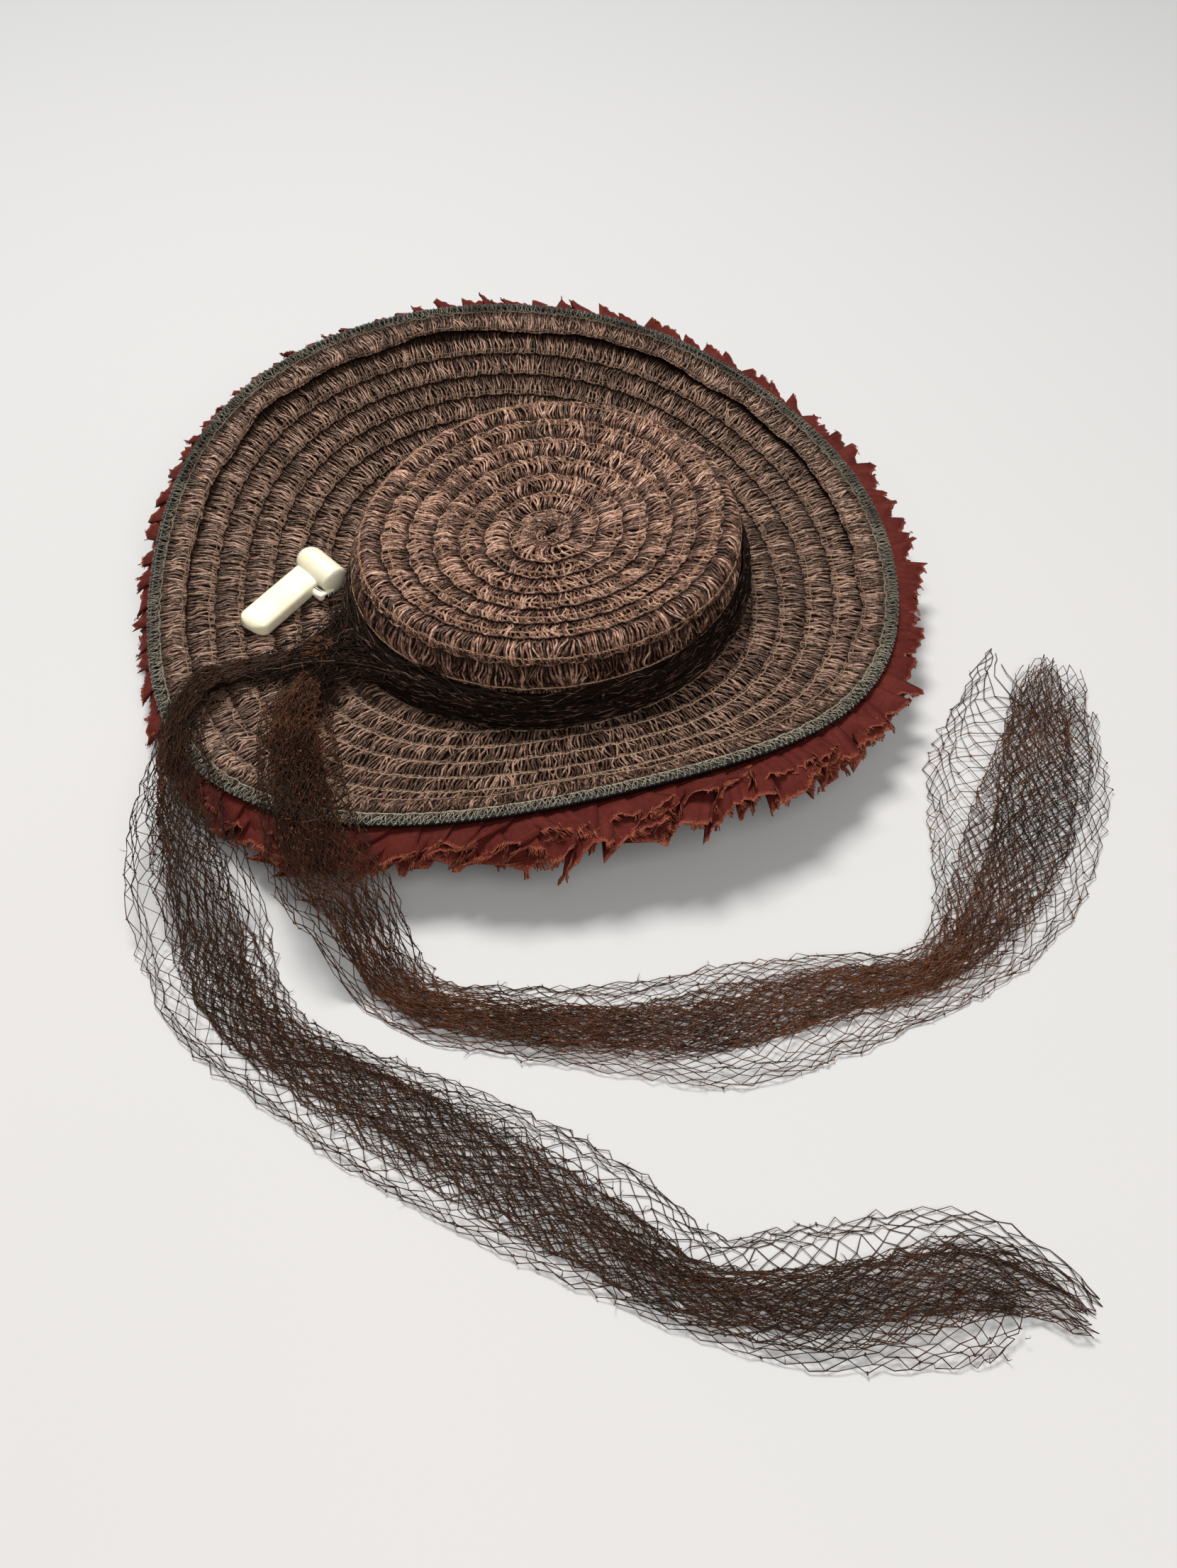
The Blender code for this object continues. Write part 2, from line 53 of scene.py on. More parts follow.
FULL_TURN = 2 * math.pi
POINTS_PER_STITCH = 2

Colour = tuple[float, float, float]
Place = tuple[float, float, float]
Array = np.ndarray
Surface = Callable[[Array, Array, Array], Array]
Crossings = Callable[[Array, Array], tuple[Array, Array]]


class Section(NamedTuple):
    """One section of the hat, on a plane through the crown's axis."""

    bearing: float
    crown_radius: float
    crown_height: float
    wall_flare: float
    brim_reach: float
    edge_slope: float
    frill_reach: float
    veil_depth: float


SECTIONS = (
    #       bearing radius height flare reach slope frill veil
    Section(0, 74, 38, 2.0, 63, 23, 11, 4.0),
    Section(30, 75.5, 38, 2.0, 63, 21, 10, 4.0),
    Section(60, 77.5, 37, 2.0, 71, 26, 9, 4.0),
    Section(90, 77, 37, 2.0, 84, 31, 8, 4.0),
    Section(120, 74, 36, 2.0, 91, 35, 4, 4.0),
    Section(150, 72, 35, 2.5, 91, 32, 3, 3.4),
    Section(180, 74.5, 35, 2.5, 82, 17, 5, 2.2),
    Section(210, 78.5, 35, 5.0, 80, 6, 7, 4.4),
    Section(240, 78.5, 35, 5.0, 80, 20, 12, 5.0),
    Section(270, 76.5, 36, 3.0, 67, 37, 15, 4.6),
    Section(300, 75, 37, 2.0, 69, 40, 15, 4.2),
    Section(330, 74.5, 37, 2.0, 69, 25, 12, 4.0),
)


class TailSection(NamedTuple):
    """One section of a veil's end: its middle and its width."""

    x: float
    y: float
    width: float


INNER_TAIL = tuple(TailSection(*row) for row in (
    (-86, -58, 10), (-90, -72, 21), (-91, -88, 27), (-84, -120, 30), (-77, -146, 32), (-72, -159, 34),
    (-65, -171, 33), (-40, -198, 23), (-12, -205, 25), (28, -208, 34), (60, -207, 45), (95, -199, 38),
    (128, -190, 25), (148, -171, 38), (162, -142, 56), (172, -106, 65), (183, -70, 52), (193, -47, 45),
))

OUTER_TAIL = tuple(TailSection(*row) for row in (
    (-95, -53, 9), (-107, -59, 14), (-122, -69, 18), (-130, -88, 17), (-130, -107, 20), (-127, -123, 30),
    (-123, -142, 36), (-114, -168, 43), (-100, -199, 38), (-80, -219, 30), (-46, -239, 38), (-10, -257, 43),
    (20, -273, 40), (46, -289, 30), (78, -293, 41), (120, -290, 46), (140, -294, 32), (152, -301, 20),
))


class Side(Enum):
    """Which way a row of braid steps: its raised edge is its outer or its inner one."""

    RAISED_OUTSIDE = "outside"
    RAISED_INSIDE = "inside"


def step_between(low: float, high: float, value: Array) -> Array:
    """A smooth step from 0 at low to 1 at high: three times the square less twice the cube of the share."""
    share = np.clip((value - low) / (high - low), 0, 1)
    return share * share * (3 - 2 * share)


def near_side(bearing: Array, low: float = 0.35, high: float = 0.9) -> Array:
    """How far a bearing is on the camera's side of the hat: a smooth step of half a turned sine."""
    return step_between(low, high, 0.5 - 0.5 * np.sin(bearing))


def ripple(seed: int, value: Array, waves: float, count: int = 5) -> Array:
    """A smooth uneven wave between about -1 and 1.

    It is the mean of a few sines whose rates lie round the given one, with seeded phases.

    Args:
        seed: Fixes the rates and phases.
        value: Where the wave is read.
        waves: The middle rate, in radians for each unit of value.
        count: How many sines are added.

    Returns:
        The wave's height at each value.
    """
    draw = np.random.default_rng(seed)
    rates = waves * draw.uniform(0.5, 1.6, count)
    phases = draw.uniform(0, FULL_TURN, count)
    value = np.asarray(value, float)
    return np.sin(value[..., None] * rates + phases).sum(-1) / math.sqrt(count)


def unit(vectors: Array) -> Array:
    """Vectors of length 1 along the given ones."""
    return vectors / np.maximum(np.linalg.norm(vectors, axis=-1, keepdims=True), 1e-9)


def smooth_rows(values: Array, count: int) -> Array:
    """A smooth curve through rows of values, a cubic between each pair, at evenly spaced rows.

    Args:
        values: The rows that the curve passes through.
        count: How many rows are read.

    Returns:
        The rows of the curve.
    """
    values = np.asarray(values, float)
    padded = np.concatenate([2 * values[:1] - values[1:2], values, 2 * values[-1:] - values[-2:-1]])
    place = np.linspace(0, len(values) - 1, count)
    first = np.minimum(place.astype(int), len(values) - 2)
    share = (place - first)[:, None]
    before, here, after, beyond = (padded[first + step] for step in range(4))
    return 0.5 * (2 * here + (after - before) * share
                  + (2 * before - 5 * here + 4 * after - beyond) * share ** 2
                  + (3 * here - before - 3 * after + beyond) * share ** 3)


def full_turn(count: int) -> Array:
    """Bearings spaced evenly round one turn, the last one short of the first."""
    return np.linspace(0, FULL_TURN, count, endpoint=False)


def polar(bearing: Array, radius: Array, height: Array) -> Array:
    """Points at a bearing, a distance from the crown's axis and a height."""
    return np.stack([radius * np.cos(bearing), radius * np.sin(bearing), height], axis=-1)


def arc_run(bearing: Array, radius: Array) -> Array:
    """Millimetres run along a line round the axis: its steps in bearing times their mean radius, summed."""
    return np.concatenate([[0], np.cumsum(np.diff(bearing) * (radius[1:] + radius[:-1]) / 2)])


def upward(points: Array) -> Array:
    """The straight way up, at each point."""
    return np.broadcast_to(np.array([0.0, 0.0, 1.0]), points.shape)


def raised(surface: Surface, first: Array, second: Array, lift: Array | float) -> tuple[Array, Array]:
    """Points of a surface at a lift, and its normals: the way to the same points a millimetre higher."""
    points = surface(first, second, lift)
    return points, unit(surface(first, second, lift + 1) - points)


@dataclass
class MeshParts:
    """Vertices, four-sided and three-sided faces, a UV pair for each corner and a tint for each vertex."""

    vertices: Array
    quads: Array
    triangles: Array
    quad_uv: Array
    triangle_uv: Array
    tint: Array

    def triangle_count(self) -> int:
        """How many triangles the faces make."""
        return 2 * len(self.quads) + len(self.triangles)


def joined(parts: Sequence[MeshParts]) -> MeshParts:
    """One set of parts that holds several, with the face numbers moved on."""
    starts = np.cumsum([0] + [len(part.vertices) for part in parts])[:-1]
    return MeshParts(
        np.concatenate([part.vertices for part in parts]),
        np.concatenate([part.quads + start for part, start in zip(parts, starts)]),
        np.concatenate([part.triangles + start for part, start in zip(parts, starts)]),
        np.concatenate([part.quad_uv for part in parts]),
        np.concatenate([part.triangle_uv for part in parts]),
        np.concatenate([part.tint for part in parts]),
    )


def strands(
    path: Array,
    normal: Array,
    half_width: Array | float,
    half_height: Array | float,
    *,
    sides: int = 3,
    tint: Array | None = None,
    looped: bool = False,
) -> MeshParts:
    """Closed tubes along many paths at once.

    Each ring is an ellipse of a few sides in the plane across the path: its width lies along the normal
    crossed with the path's direction, and its height along the normal.

    Args:
        path: Points, shaped (strands, stations, 3).
        normal: The surface's normal at each point.
        half_width: Half the width, for each point or for all.
        half_height: Half the height, for each point or for all.
        sides: Sides of a ring.
        tint: A value for each strand, or for each of its stations, kept for the material.
        looped: Whether the last station joins the first, with no ends.

    Returns:
        The tubes' mesh. U turns once round a tube and V counts millimetres along it.
    """
    count, stations, _ = path.shape
    if looped:
        ahead = np.roll(path, -1, axis=1) - np.roll(path, 1, axis=1)
    else:
        ahead = np.gradient(path, axis=1)
    ahead = unit(ahead)
    across = unit(np.cross(normal, ahead))
    upright = np.cross(ahead, across)
    wide = np.broadcast_to(half_width, path.shape[:2])[..., None, None]
    high = np.broadcast_to(half_height, path.shape[:2])[..., None, None]
    turn = (np.arange(sides) / sides * FULL_TURN + math.pi / 2)[None, None, :, None]
    rings = path[:, :, None] + wide * np.cos(turn) * across[:, :, None]
    rings = rings + high * np.sin(turn) * upright[:, :, None]
    index = np.arange(count * stations * sides).reshape(count, stations, sides)
    beside = np.roll(index, -1, axis=2)
    next_index = np.roll(index, -1, axis=1)
    next_beside = np.roll(beside, -1, axis=1)
    last = stations if looped else stations - 1
    quads = np.stack([index, beside, next_beside, next_index], axis=-1)[:, :last].reshape(-1, 4)
    steps = np.linalg.norm(np.roll(path, -1, axis=1) - path, axis=-1)
    reached = np.concatenate([np.zeros((count, 1)), np.cumsum(steps, axis=1)], axis=1)
    quad_uv = ring_uv(np.arange(sides + 1) / sides, reached[:, :last, None], reached[:, 1:last + 1, None])
    if looped:
        triangles = np.zeros((0, 3), int)
    else:
        fans = [np.stack([index[:, 0, 0], index[:, 0, side + 1], index[:, 0, side]], axis=-1)
                for side in range(1, sides - 1)]
        fans += [np.stack([index[:, -1, 0], index[:, -1, side], index[:, -1, side + 1]], axis=-1)
                 for side in range(1, sides - 1)]
        triangles = np.concatenate(fans)
    tint = np.zeros(count) if tint is None else tint
    tint = np.broadcast_to(tint.reshape(count, -1), (count, stations))
    return MeshParts(
        rings.reshape(-1, 3), quads, triangles, quad_uv, np.zeros((len(triangles), 3, 2)),
        np.repeat(tint.ravel(), sides),
    )


def ring_uv(u: Array, v: Array, v_next: Array) -> Array:
    """The UV pairs of the faces between rings, from U along a ring and V of the two rings."""
    u_low, v_low = np.broadcast_arrays(u[:-1], v)
    u_high, v_high = np.broadcast_arrays(u[1:], v_next)
    corners = ((u_low, v_low), (u_high, v_low), (u_high, v_high), (u_low, v_high))
    return np.stack([np.stack(pair, axis=-1) for pair in corners], axis=-2).reshape(-1, 4, 2)


def wall(rings: Array, across: Array, *, poles: Sequence[Array] = ()) -> MeshParts:
    """One closed wall through rings of points.

    The rings run round the hat. With poles, the first and the last ring close on them; without, the last
    ring joins the first. Faces are turned outwards by the sign of the volume that they enclose.

    Args:
        rings: Points, shaped (rings, points, 3).
        across: V of each ring, in millimetres.
        poles: No points, or two.

    Returns:
        The wall's mesh. U counts millimetres round a ring of mean size.
    """
    ring_count, points, _ = rings.shape
    index = np.arange(ring_count * points).reshape(ring_count, points)
    length = float(np.linalg.norm(np.roll(rings, -1, axis=1) - rings, axis=-1).sum(1).max())
    u = np.linspace(0, length, points + 1)
    v = np.asarray(across, float)
    if poles:
        ring_next, v_next = index[1:], v[1:]
        ring_here, v_here = index[:-1], v[:-1]
    else:
        ring_next, v_next = np.roll(index, -1, axis=0), np.roll(v, -1)
        ring_here, v_here = index, v
    beside_here, beside_next = np.roll(ring_here, -1, axis=1), np.roll(ring_next, -1, axis=1)
    quads = np.stack([ring_here, beside_here, beside_next, ring_next], -1).reshape(-1, 4)
    quad_uv = ring_uv(u, v_here[:, None], v_next[:, None])
    vertices = rings.reshape(-1, 3)
    triangles = np.zeros((0, 3), int)
    triangle_uv = np.zeros((0, 3, 2))
    if poles:
        vertices = np.concatenate([vertices, np.asarray(poles, float)])
        first = np.stack([np.roll(index[0], -1), index[0], np.full(points, len(vertices) - 2)], axis=-1)
        final = np.stack([index[-1], np.roll(index[-1], -1), np.full(points, len(vertices) - 1)], axis=-1)
        triangles = np.concatenate([first, final])
        low = np.stack([u[1:], u[:-1], u[:-1]], axis=-1)
        high = np.stack([u[:-1], u[1:], u[:-1]], axis=-1)
        v_first = np.broadcast_to([v[0], v[0], v[0]], low.shape)
        v_final = np.broadcast_to([v[-1], v[-1], v[-1]], high.shape)
        triangle_uv = np.concatenate([np.stack([low, v_first], -1), np.stack([high, v_final], -1)])
    made = MeshParts(vertices, quads, triangles, quad_uv, triangle_uv, np.zeros(len(vertices)))
    return outwards(made)


def outwards(parts: MeshParts) -> MeshParts:
    """Turns the faces of a closed mesh so that the volume they enclose is positive."""
    split = np.concatenate([parts.quads[:, [0, 1, 2]], parts.quads[:, [0, 2, 3]], parts.triangles])
    middle = parts.vertices.mean(0)
    a, b, c = (parts.vertices[split[:, corner]] - middle for corner in range(3))
    if np.einsum("ij,ij->", a, np.cross(b, c)) < 0:
        parts.quads, parts.triangles = parts.quads[:, ::-1], parts.triangles[:, ::-1]
        parts.quad_uv, parts.triangle_uv = parts.quad_uv[:, ::-1], parts.triangle_uv[:, ::-1]
    return parts


def linked(name: str, data: bpy.types.ID) -> bpy.types.Object:
    """A new object in the scene."""
    made = bpy.data.objects.new(name, data)
    bpy.context.collection.objects.link(made)
    return made


def add_piece(name: str, parts: MeshParts, material: bpy.types.Material,
              replaced: Sequence[str] = ()) -> bpy.types.Object:
    """Puts a mesh into the scene as a piece that rides with the hat.

    Args:
        name: The piece's name.
        parts: Its mesh, in millimetres from the crown's centre.
        material: Its finish.
        replaced: The solids that it stands for.

    Returns:
        The new object, at the origin.
    """
    mesh = bpy.data.meshes.new(name)
    placed = (parts.vertices + CROWN_PLACE) * MM
    placed[:, 2] = np.maximum(placed[:, 2], 0.0)
    corners = np.concatenate([parts.quads.ravel(), parts.triangles.ravel()]).astype(np.int32)
    sizes = np.repeat([4, 3], [len(parts.quads), len(parts.triangles)])
    mesh.vertices.add(len(placed))
    mesh.vertices.foreach_set("co", placed.astype(np.float32).ravel())
    mesh.loops.add(len(corners))
    mesh.loops.foreach_set("vertex_index", corners)
    mesh.polygons.add(len(sizes))
    mesh.polygons.foreach_set("loop_start", (np.cumsum(sizes) - sizes).astype(np.int32))
    mesh.polygons.foreach_set("use_smooth", np.ones(len(sizes), bool))
    uv = np.concatenate([parts.quad_uv.reshape(-1, 2), parts.triangle_uv.reshape(-1, 2)])
    mesh.uv_layers.new(name="UVMap").data.foreach_set("uv", uv.astype(np.float32).ravel())
    tint = mesh.attributes.new("tint", "FLOAT", "POINT")
    tint.data.foreach_set("value", parts.tint.astype(np.float32))
    mesh.update(calc_edges=True)
    mesh.materials.append(material)
    piece = linked(name, mesh)
    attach(piece, "root")
    if replaced:
        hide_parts(*replaced)
    LOG.info("%s: %d triangles", name, parts.triangle_count())
    return piece


class NodeBench:
    """Short calls that add nodes to one tree."""

    def __init__(self, tree: bpy.types.NodeTree) -> None:
        """Keeps the tree that nodes are added to."""
        self.tree = tree

    def add(self, kind: str, inputs: dict | None = None, **settings: Any) -> bpy.types.Node:
        """Adds a node.

        Args:
            kind: The node's type, without the leading ShaderNode.
            inputs: A socket or a value for each input's name or number.
            settings: The node's own options.

        Returns:
            The node.
        """
        node = self.tree.nodes.new("ShaderNode" + kind)
        for option, value in settings.items():
            setattr(node, option, value)
        return self._fill(node, inputs or {})

    def _fill(self, node: bpy.types.Node, inputs: dict) -> bpy.types.Node:
        """Links or sets the inputs of a node, and returns it."""
        for place, value in inputs.items():
            if isinstance(value, bpy.types.NodeSocket):
                self.tree.links.new(value, node.inputs[place])
            else:
                node.inputs[place].default_value = value
        return node

    def math(self, operation: str, *values: Any) -> bpy.types.NodeSocket:
        """The result of a sum on one to three values."""
        return self.add("Math", dict(enumerate(values)), operation=operation).outputs[0]

    def noise(self, vector: Any, scale: float, detail: float = 2.0) -> bpy.types.NodeSocket:
        """Soft noise between about 0.25 and 0.75."""
        inputs = {"Vector": vector, "Scale": scale, "Detail": detail}
        return self.add("TexNoise", inputs).outputs["Fac"]

    def wave(self, turns: Any) -> bpy.types.NodeSocket:
        """A sine of a number of turns, moved to lie between 0 and 1."""
        sine = self.math("SINE", self.math("MULTIPLY", turns, FULL_TURN))
        return self.math("MULTIPLY_ADD", sine, 0.5, 0.5)

    def remap(self, value: Any, low: float, high: float, to_low: float = 0.0,
              to_high: float = 1.0) -> bpy.types.NodeSocket:
        """Moves a value from one range to another, held within it."""
        inputs = {"Value": value, "From Min": low, "From Max": high, "To Min": to_low, "To Max": to_high}
        return self.add("MapRange", inputs).outputs["Result"]

    def blend(self, share: Any, first: Any, second: Any) -> bpy.types.NodeSocket:
        """A mix of two colours."""
        return self.add("Mix", {0: share, 6: first, 7: second}, data_type="RGBA").outputs[2]

    def group(self, tree: bpy.types.NodeTree, inputs: dict) -> bpy.types.Node:
        """Places a shared group, with its inputs."""
        node = self.tree.nodes.new("ShaderNodeGroup")
        node.node_tree = tree
        return self._fill(node, inputs)


def opaque(colour: Colour) -> tuple[float, float, float, float]:
    """A colour with full cover."""
    return (*colour, 1.0)


class Effects:
    """Shader groups that more than one finish uses, each built once."""

    def __init__(self) -> None:
        """Starts with no groups."""
        self.made: dict[str, bpy.types.NodeTree] = {}

    def _group(self, name: str, inputs: dict[str, str], outputs: dict[str, str],
               fill: Callable[[NodeBench, dict], dict]) -> bpy.types.NodeTree:
        """Builds a group once and keeps it.

        Args:
            name: The group's name.
            inputs: The kind of socket for each input's name.
            outputs: The kind of socket for each output's name.
            fill: Adds the nodes, and returns a socket for each output.

        Returns:
            The group.
        """
        if name in self.made:
            return self.made[name]
        tree = bpy.data.node_groups.new(name, "ShaderNodeTree")
        for way, sockets in (("INPUT", inputs), ("OUTPUT", outputs)):
            for label, kind in sockets.items():
                tree.interface.new_socket(name=label, in_out=way, socket_type="NodeSocket" + kind)
        start = tree.nodes.new("NodeGroupInput")
        end = tree.nodes.new("NodeGroupOutput")
        given = {label: start.outputs[label] for label in inputs}
        for label, socket in fill(NodeBench(tree), given).items():
            tree.links.new(socket, end.inputs[label])
        self.made[name] = tree
        return tree

    def fibre(self) -> bpy.types.NodeTree:
        """Three tones chosen by a strand's tint, which also carries painted shade and painted highlights,
        crinkled with painted shade and highlights, blotched and streaked along it.
        """

        def fill(bench: NodeBench, given: dict) -> dict:
            """Adds the tones, the blotches and the streaks."""
            place = bench.add("SeparateXYZ", {0: given["UV"]})
            shifted = bench.add("CombineXYZ", {
                "X": bench.math("MULTIPLY", place.outputs["X"], given["Streaks"]),
                "Y": bench.math("MULTIPLY", place.outputs["Y"], 0.25),
                "Z": bench.math("MULTIPLY", given["Tint"], 57.0),
            }).outputs[0]
            streak = bench.noise(shifted, 1.0, 3.0)
            patch = bench.noise(given["Place"], given["Patch Scale"], 2.0)
            crinkle = bench.noise(given["Place"], given["Crinkle"], 2.0)
            depth = given["Tint"]
            # The crinkle noise darkens and lightens the colour as painted shade and painted highlights on the
            # crinkles; the blotches and streaks are the fibre's own tone.
            for mottle, reach in ((patch, 0.5), (streak, 1.3), (crinkle, 1.8)):
                depth = bench.math("ADD", depth, bench.math("MULTIPLY_ADD", mottle, reach, -reach / 2))
            lower = bench.blend(bench.remap(depth, 0.0, 0.5), given["Dark"], given["Middle"])
            colour = bench.blend(bench.remap(depth, 0.5, 1.0), lower, given["Light"])
            height = bench.math("MULTIPLY_ADD", streak, 0.45, crinkle)
            roughness = bench.remap(streak, 0.3, 0.7, 0.22, 0.42)
            return {"Color": colour, "Height": height, "Roughness": roughness}

        inputs = {"UV": "Vector", "Place": "Vector", "Tint": "Float", "Streaks": "Float",
                  "Patch Scale": "Float", "Crinkle": "Float", "Dark": "Color", "Middle": "Color",
                  "Light": "Color"}
        outputs = {"Color": "Color", "Height": "Float", "Roughness": "Float"}
        return self._group("fibre tones", inputs, outputs, fill)

    def twist(self) -> bpy.types.NodeTree:
        """Slanting ridges round a thread or a cord: a sine of the turn plus the length over the pitch."""

        def fill(bench: NodeBench, given: dict) -> dict:
            """Adds the ridges and a little noise along them."""
            place = bench.add("SeparateXYZ", {0: given["UV"]})
            along = bench.math("DIVIDE", place.outputs["Y"], given["Pitch"])
            turn = bench.math("ADD", bench.math("MULTIPLY", place.outputs["X"], given["Plies"]), along)
            ridge = bench.wave(turn)
            fuzz = bench.noise(given["Place"], 900.0, 2.0)
            height = bench.math("MULTIPLY_ADD", fuzz, 0.6, ridge)
            return {"Height": height, "Mask": bench.remap(ridge, 0.2, 0.9)}

        inputs = {"UV": "Vector", "Place": "Vector", "Pitch": "Float", "Plies": "Float"}
        return self._group("ply twist", inputs, {"Height": "Float", "Mask": "Float"}, fill)

    def patches(self) -> bpy.types.NodeTree:
        """A colour that fades and darkens in soft patches, as with age and dust; where the faded tone is a
        glint, the patches are painted sheen.
        """

        def fill(bench: NodeBench, given: dict) -> dict:
            """Adds broad and fine patches."""
            broad = bench.remap(bench.noise(given["Place"], given["Scale"], 3.0), 0.35, 0.68)
            specks = bench.noise(given["Place"], bench.math("MULTIPLY", given["Scale"], 7.0), 2.0)
            colour = bench.blend(broad, given["Base"], given["Faded"])
            share = bench.math("MULTIPLY", bench.remap(specks, 0.3, 0.7), given["Speckle"])
            return {"Color": bench.blend(share, colour, given["Dark"])}

        inputs = {"Place": "Vector", "Scale": "Float", "Speckle": "Float", "Base": "Color", "Faded": "Color",
                  "Dark": "Color"}
        return self._group("age and sheen patches", inputs, {"Color": "Color"}, fill)


EFFECTS = Effects()


class FinishStart(NamedTuple):
    """A new material with its shader, its bench and the sockets that patterns read."""

    material: bpy.types.Material
    shader: bpy.types.Node
    bench: NodeBench
    uv: bpy.types.NodeSocket
    place: bpy.types.NodeSocket
    tint: bpy.types.NodeSocket

    def feed(self, socket: str, value: bpy.types.NodeSocket) -> None:
        """Links a result to one of the shader's own sockets."""
        self.material.node_tree.links.new(value, self.shader.inputs[socket])

    def emboss(self, height: bpy.types.NodeSocket, distance: float) -> None:
        """Feeds a height to the shader's normal through a Bump node, whose distance is in metres."""
        bump = self.bench.add("Bump", {"Height": height, "Distance": distance, "Strength": 1.0})
        self.feed("Normal", bump.outputs["Normal"])

    def twisted(self, pitch: float, plies: float) -> bpy.types.Node:
        """The ridges of twisted plies, as a node with a Height and a Mask."""
        inputs = {"UV": self.uv, "Place": self.place, "Pitch": pitch, "Plies": plies}
        return self.bench.group(EFFECTS.twist(), inputs)

    def patchy_tone(self, scale: float, speckle: float, tones: Sequence[Colour]) -> bpy.types.NodeSocket:
        """A colour in soft patches.

        Args:
            scale: How close the patches lie.
            speckle: How much of the darker tone its specks take.
            tones: The base, the faded and the darker tone.

        Returns:
            The colour's socket.
        """
        base, faded, dark = (opaque(tone) for tone in tones)
        inputs = {"Place": self.place, "Scale": scale, "Speckle": speckle, "Base": base, "Faded": faded,
                  "Dark": dark}
        return self.bench.group(EFFECTS.patches(), inputs).outputs["Color"]


def start_material(name: str, settings: dict[str, Any]) -> FinishStart:
    """Makes a material whose even values stand on the shader's own sockets."""
    made = bpy.data.materials.new(name)
    made.use_nodes = True
    shader = made.node_tree.nodes["Principled BSDF"]
    for socket, value in settings.items():
        shader.inputs[socket].default_value = value
    bench = NodeBench(made.node_tree)
    coordinates = bench.add("TexCoord")
    tint = bench.add("Attribute", attribute_name="tint")
    return FinishStart(made, shader, bench, coordinates.outputs["UV"], coordinates.outputs["Object"],
                       tint.outputs["Fac"])


@dataclass(frozen=True)
class StrandFinish:
    """Glossy plaited fibre: each strand has its own tone, with painted shade and painted highlights carried
    in its tint, and fine streaks run along it.
    """

    name: str
    dark: Colour
    middle: Colour
    light: Colour
    streaks: float = 14.0
    patch_scale: float = 38.0
    crinkle: float = 560.0
    relief: float = 0.0009
    glint: Colour = (1.0, 0.74, 0.58)
    shine: float = 0.95

    def material(self) -> bpy.types.Material:
        """Builds the material."""
        start = start_material(self.name, {"Specular IOR Level": self.shine,
                                           "Specular Tint": opaque(self.glint)})
        fibre = start.bench.group(EFFECTS.fibre(), {
            "UV": start.uv, "Place": start.place, "Tint": start.tint, "Streaks": self.streaks,
            "Patch Scale": self.patch_scale, "Crinkle": self.crinkle, "Dark": opaque(self.dark),
            "Middle": opaque(self.middle), "Light": opaque(self.light),
        })
        start.feed("Base Color", fibre.outputs["Color"])
        start.feed("Roughness", fibre.outputs["Roughness"])
        start.emboss(fibre.outputs["Height"], self.relief)
        return start.material


@dataclass(frozen=True)
class BraidBedFinish:
    """The braid seen between and behind the strands: slanting ridges of the same fibre, in rows, with painted
    shade in the valleys between the ridges.
    """

    name: str
    dark: Colour
    light: Colour
    strand: float = 1.5
    relief: float = 0.0005
    glint: Colour = (1.0, 0.7, 0.5)

    def material(self) -> bpy.types.Material:
        """Builds the material: ridges are a sine of the distance round, bent across each row by noise."""
        start = start_material(self.name, {"Specular IOR Level": 0.15, "Specular Tint": opaque(self.glint)})
        bench = start.bench
        place = bench.add("SeparateXYZ", {0: start.uv})
        bend = bench.math("MULTIPLY", bench.noise(start.place, 260.0, 2.0), 3.4)
        slant = bench.math("MULTIPLY_ADD", place.outputs["Y"], 0.35, bend)
        ridge = bench.wave(bench.math("DIVIDE", bench.math("ADD", place.outputs["X"], slant), self.strand))
        tone = start.patchy_tone(60.0, 0.4, (self.light, self.light, self.dark))
        # Painted shade: the valleys between the ridges blend to the dark tone.
        start.feed("Base Color", bench.blend(bench.remap(ridge, 0.1, 0.8), opaque(self.dark), tone))
        start.feed("Roughness", bench.remap(ridge, 0.0, 1.0, 0.75, 0.45))
        start.emboss(ridge, self.relief)
        return start.material


@dataclass(frozen=True)
class ThreadFinish:
    """Sewing thread or net yarn: twisted plies, faded in patches and by its tint, which for threads also
    holds painted light on the near side, with painted shade in the pits between plies and below a tint of 0,
    and painted glints above a set tint.
    """

    name: str
    base: Colour
    faded: Colour
    dark: Colour
    roughness: float = 0.6
    shine: float = 0.3
    scale: float = 45.0
    pitch: float = 0.5
    # Painted glints: yarn whose tint passes pale_above turns to this pale tone.
    pale: Colour = (0.40, 0.23, 0.16)
    pale_above: float = 1.0
    pale_ramp: float = 0.3
    relief: float = 0.0001
    glint: Colour = (1.0, 0.72, 0.52)

    def material(self) -> bpy.types.Material:
        """Builds the material."""
        start = start_material(self.name, {"Roughness": self.roughness, "Specular IOR Level": self.shine,
                                           "Specular Tint": opaque(self.glint)})
        bench = start.bench
        plies = start.twisted(self.pitch, 2.0)
        tone = start.patchy_tone(self.scale, 0.55, (self.base, self.faded, self.dark))
        # Painted shade in the pits between the plies and where the tint is below 0; painted glints where it
        # is high. The faded tone that the tint blends towards is also painted light on the near side of
        # threads.
        painted_pit_shade = bench.remap(plies.outputs["Mask"], 0.0, 1.0, 0.45, 0.0)
        pale = bench.remap(start.tint, self.pale_above, self.pale_above + self.pale_ramp)
        below = bench.remap(start.tint, -0.6, 0.0, 0.8, 0.0)
        for share, colour in ((start.tint, self.faded), (below, self.dark), (pale, self.pale),
                              (painted_pit_shade, self.dark)):
            tone = bench.blend(share, tone, opaque(colour))
        start.feed("Base Color", tone)
        start.emboss(plies.outputs["Height"], self.relief)
        return start.material


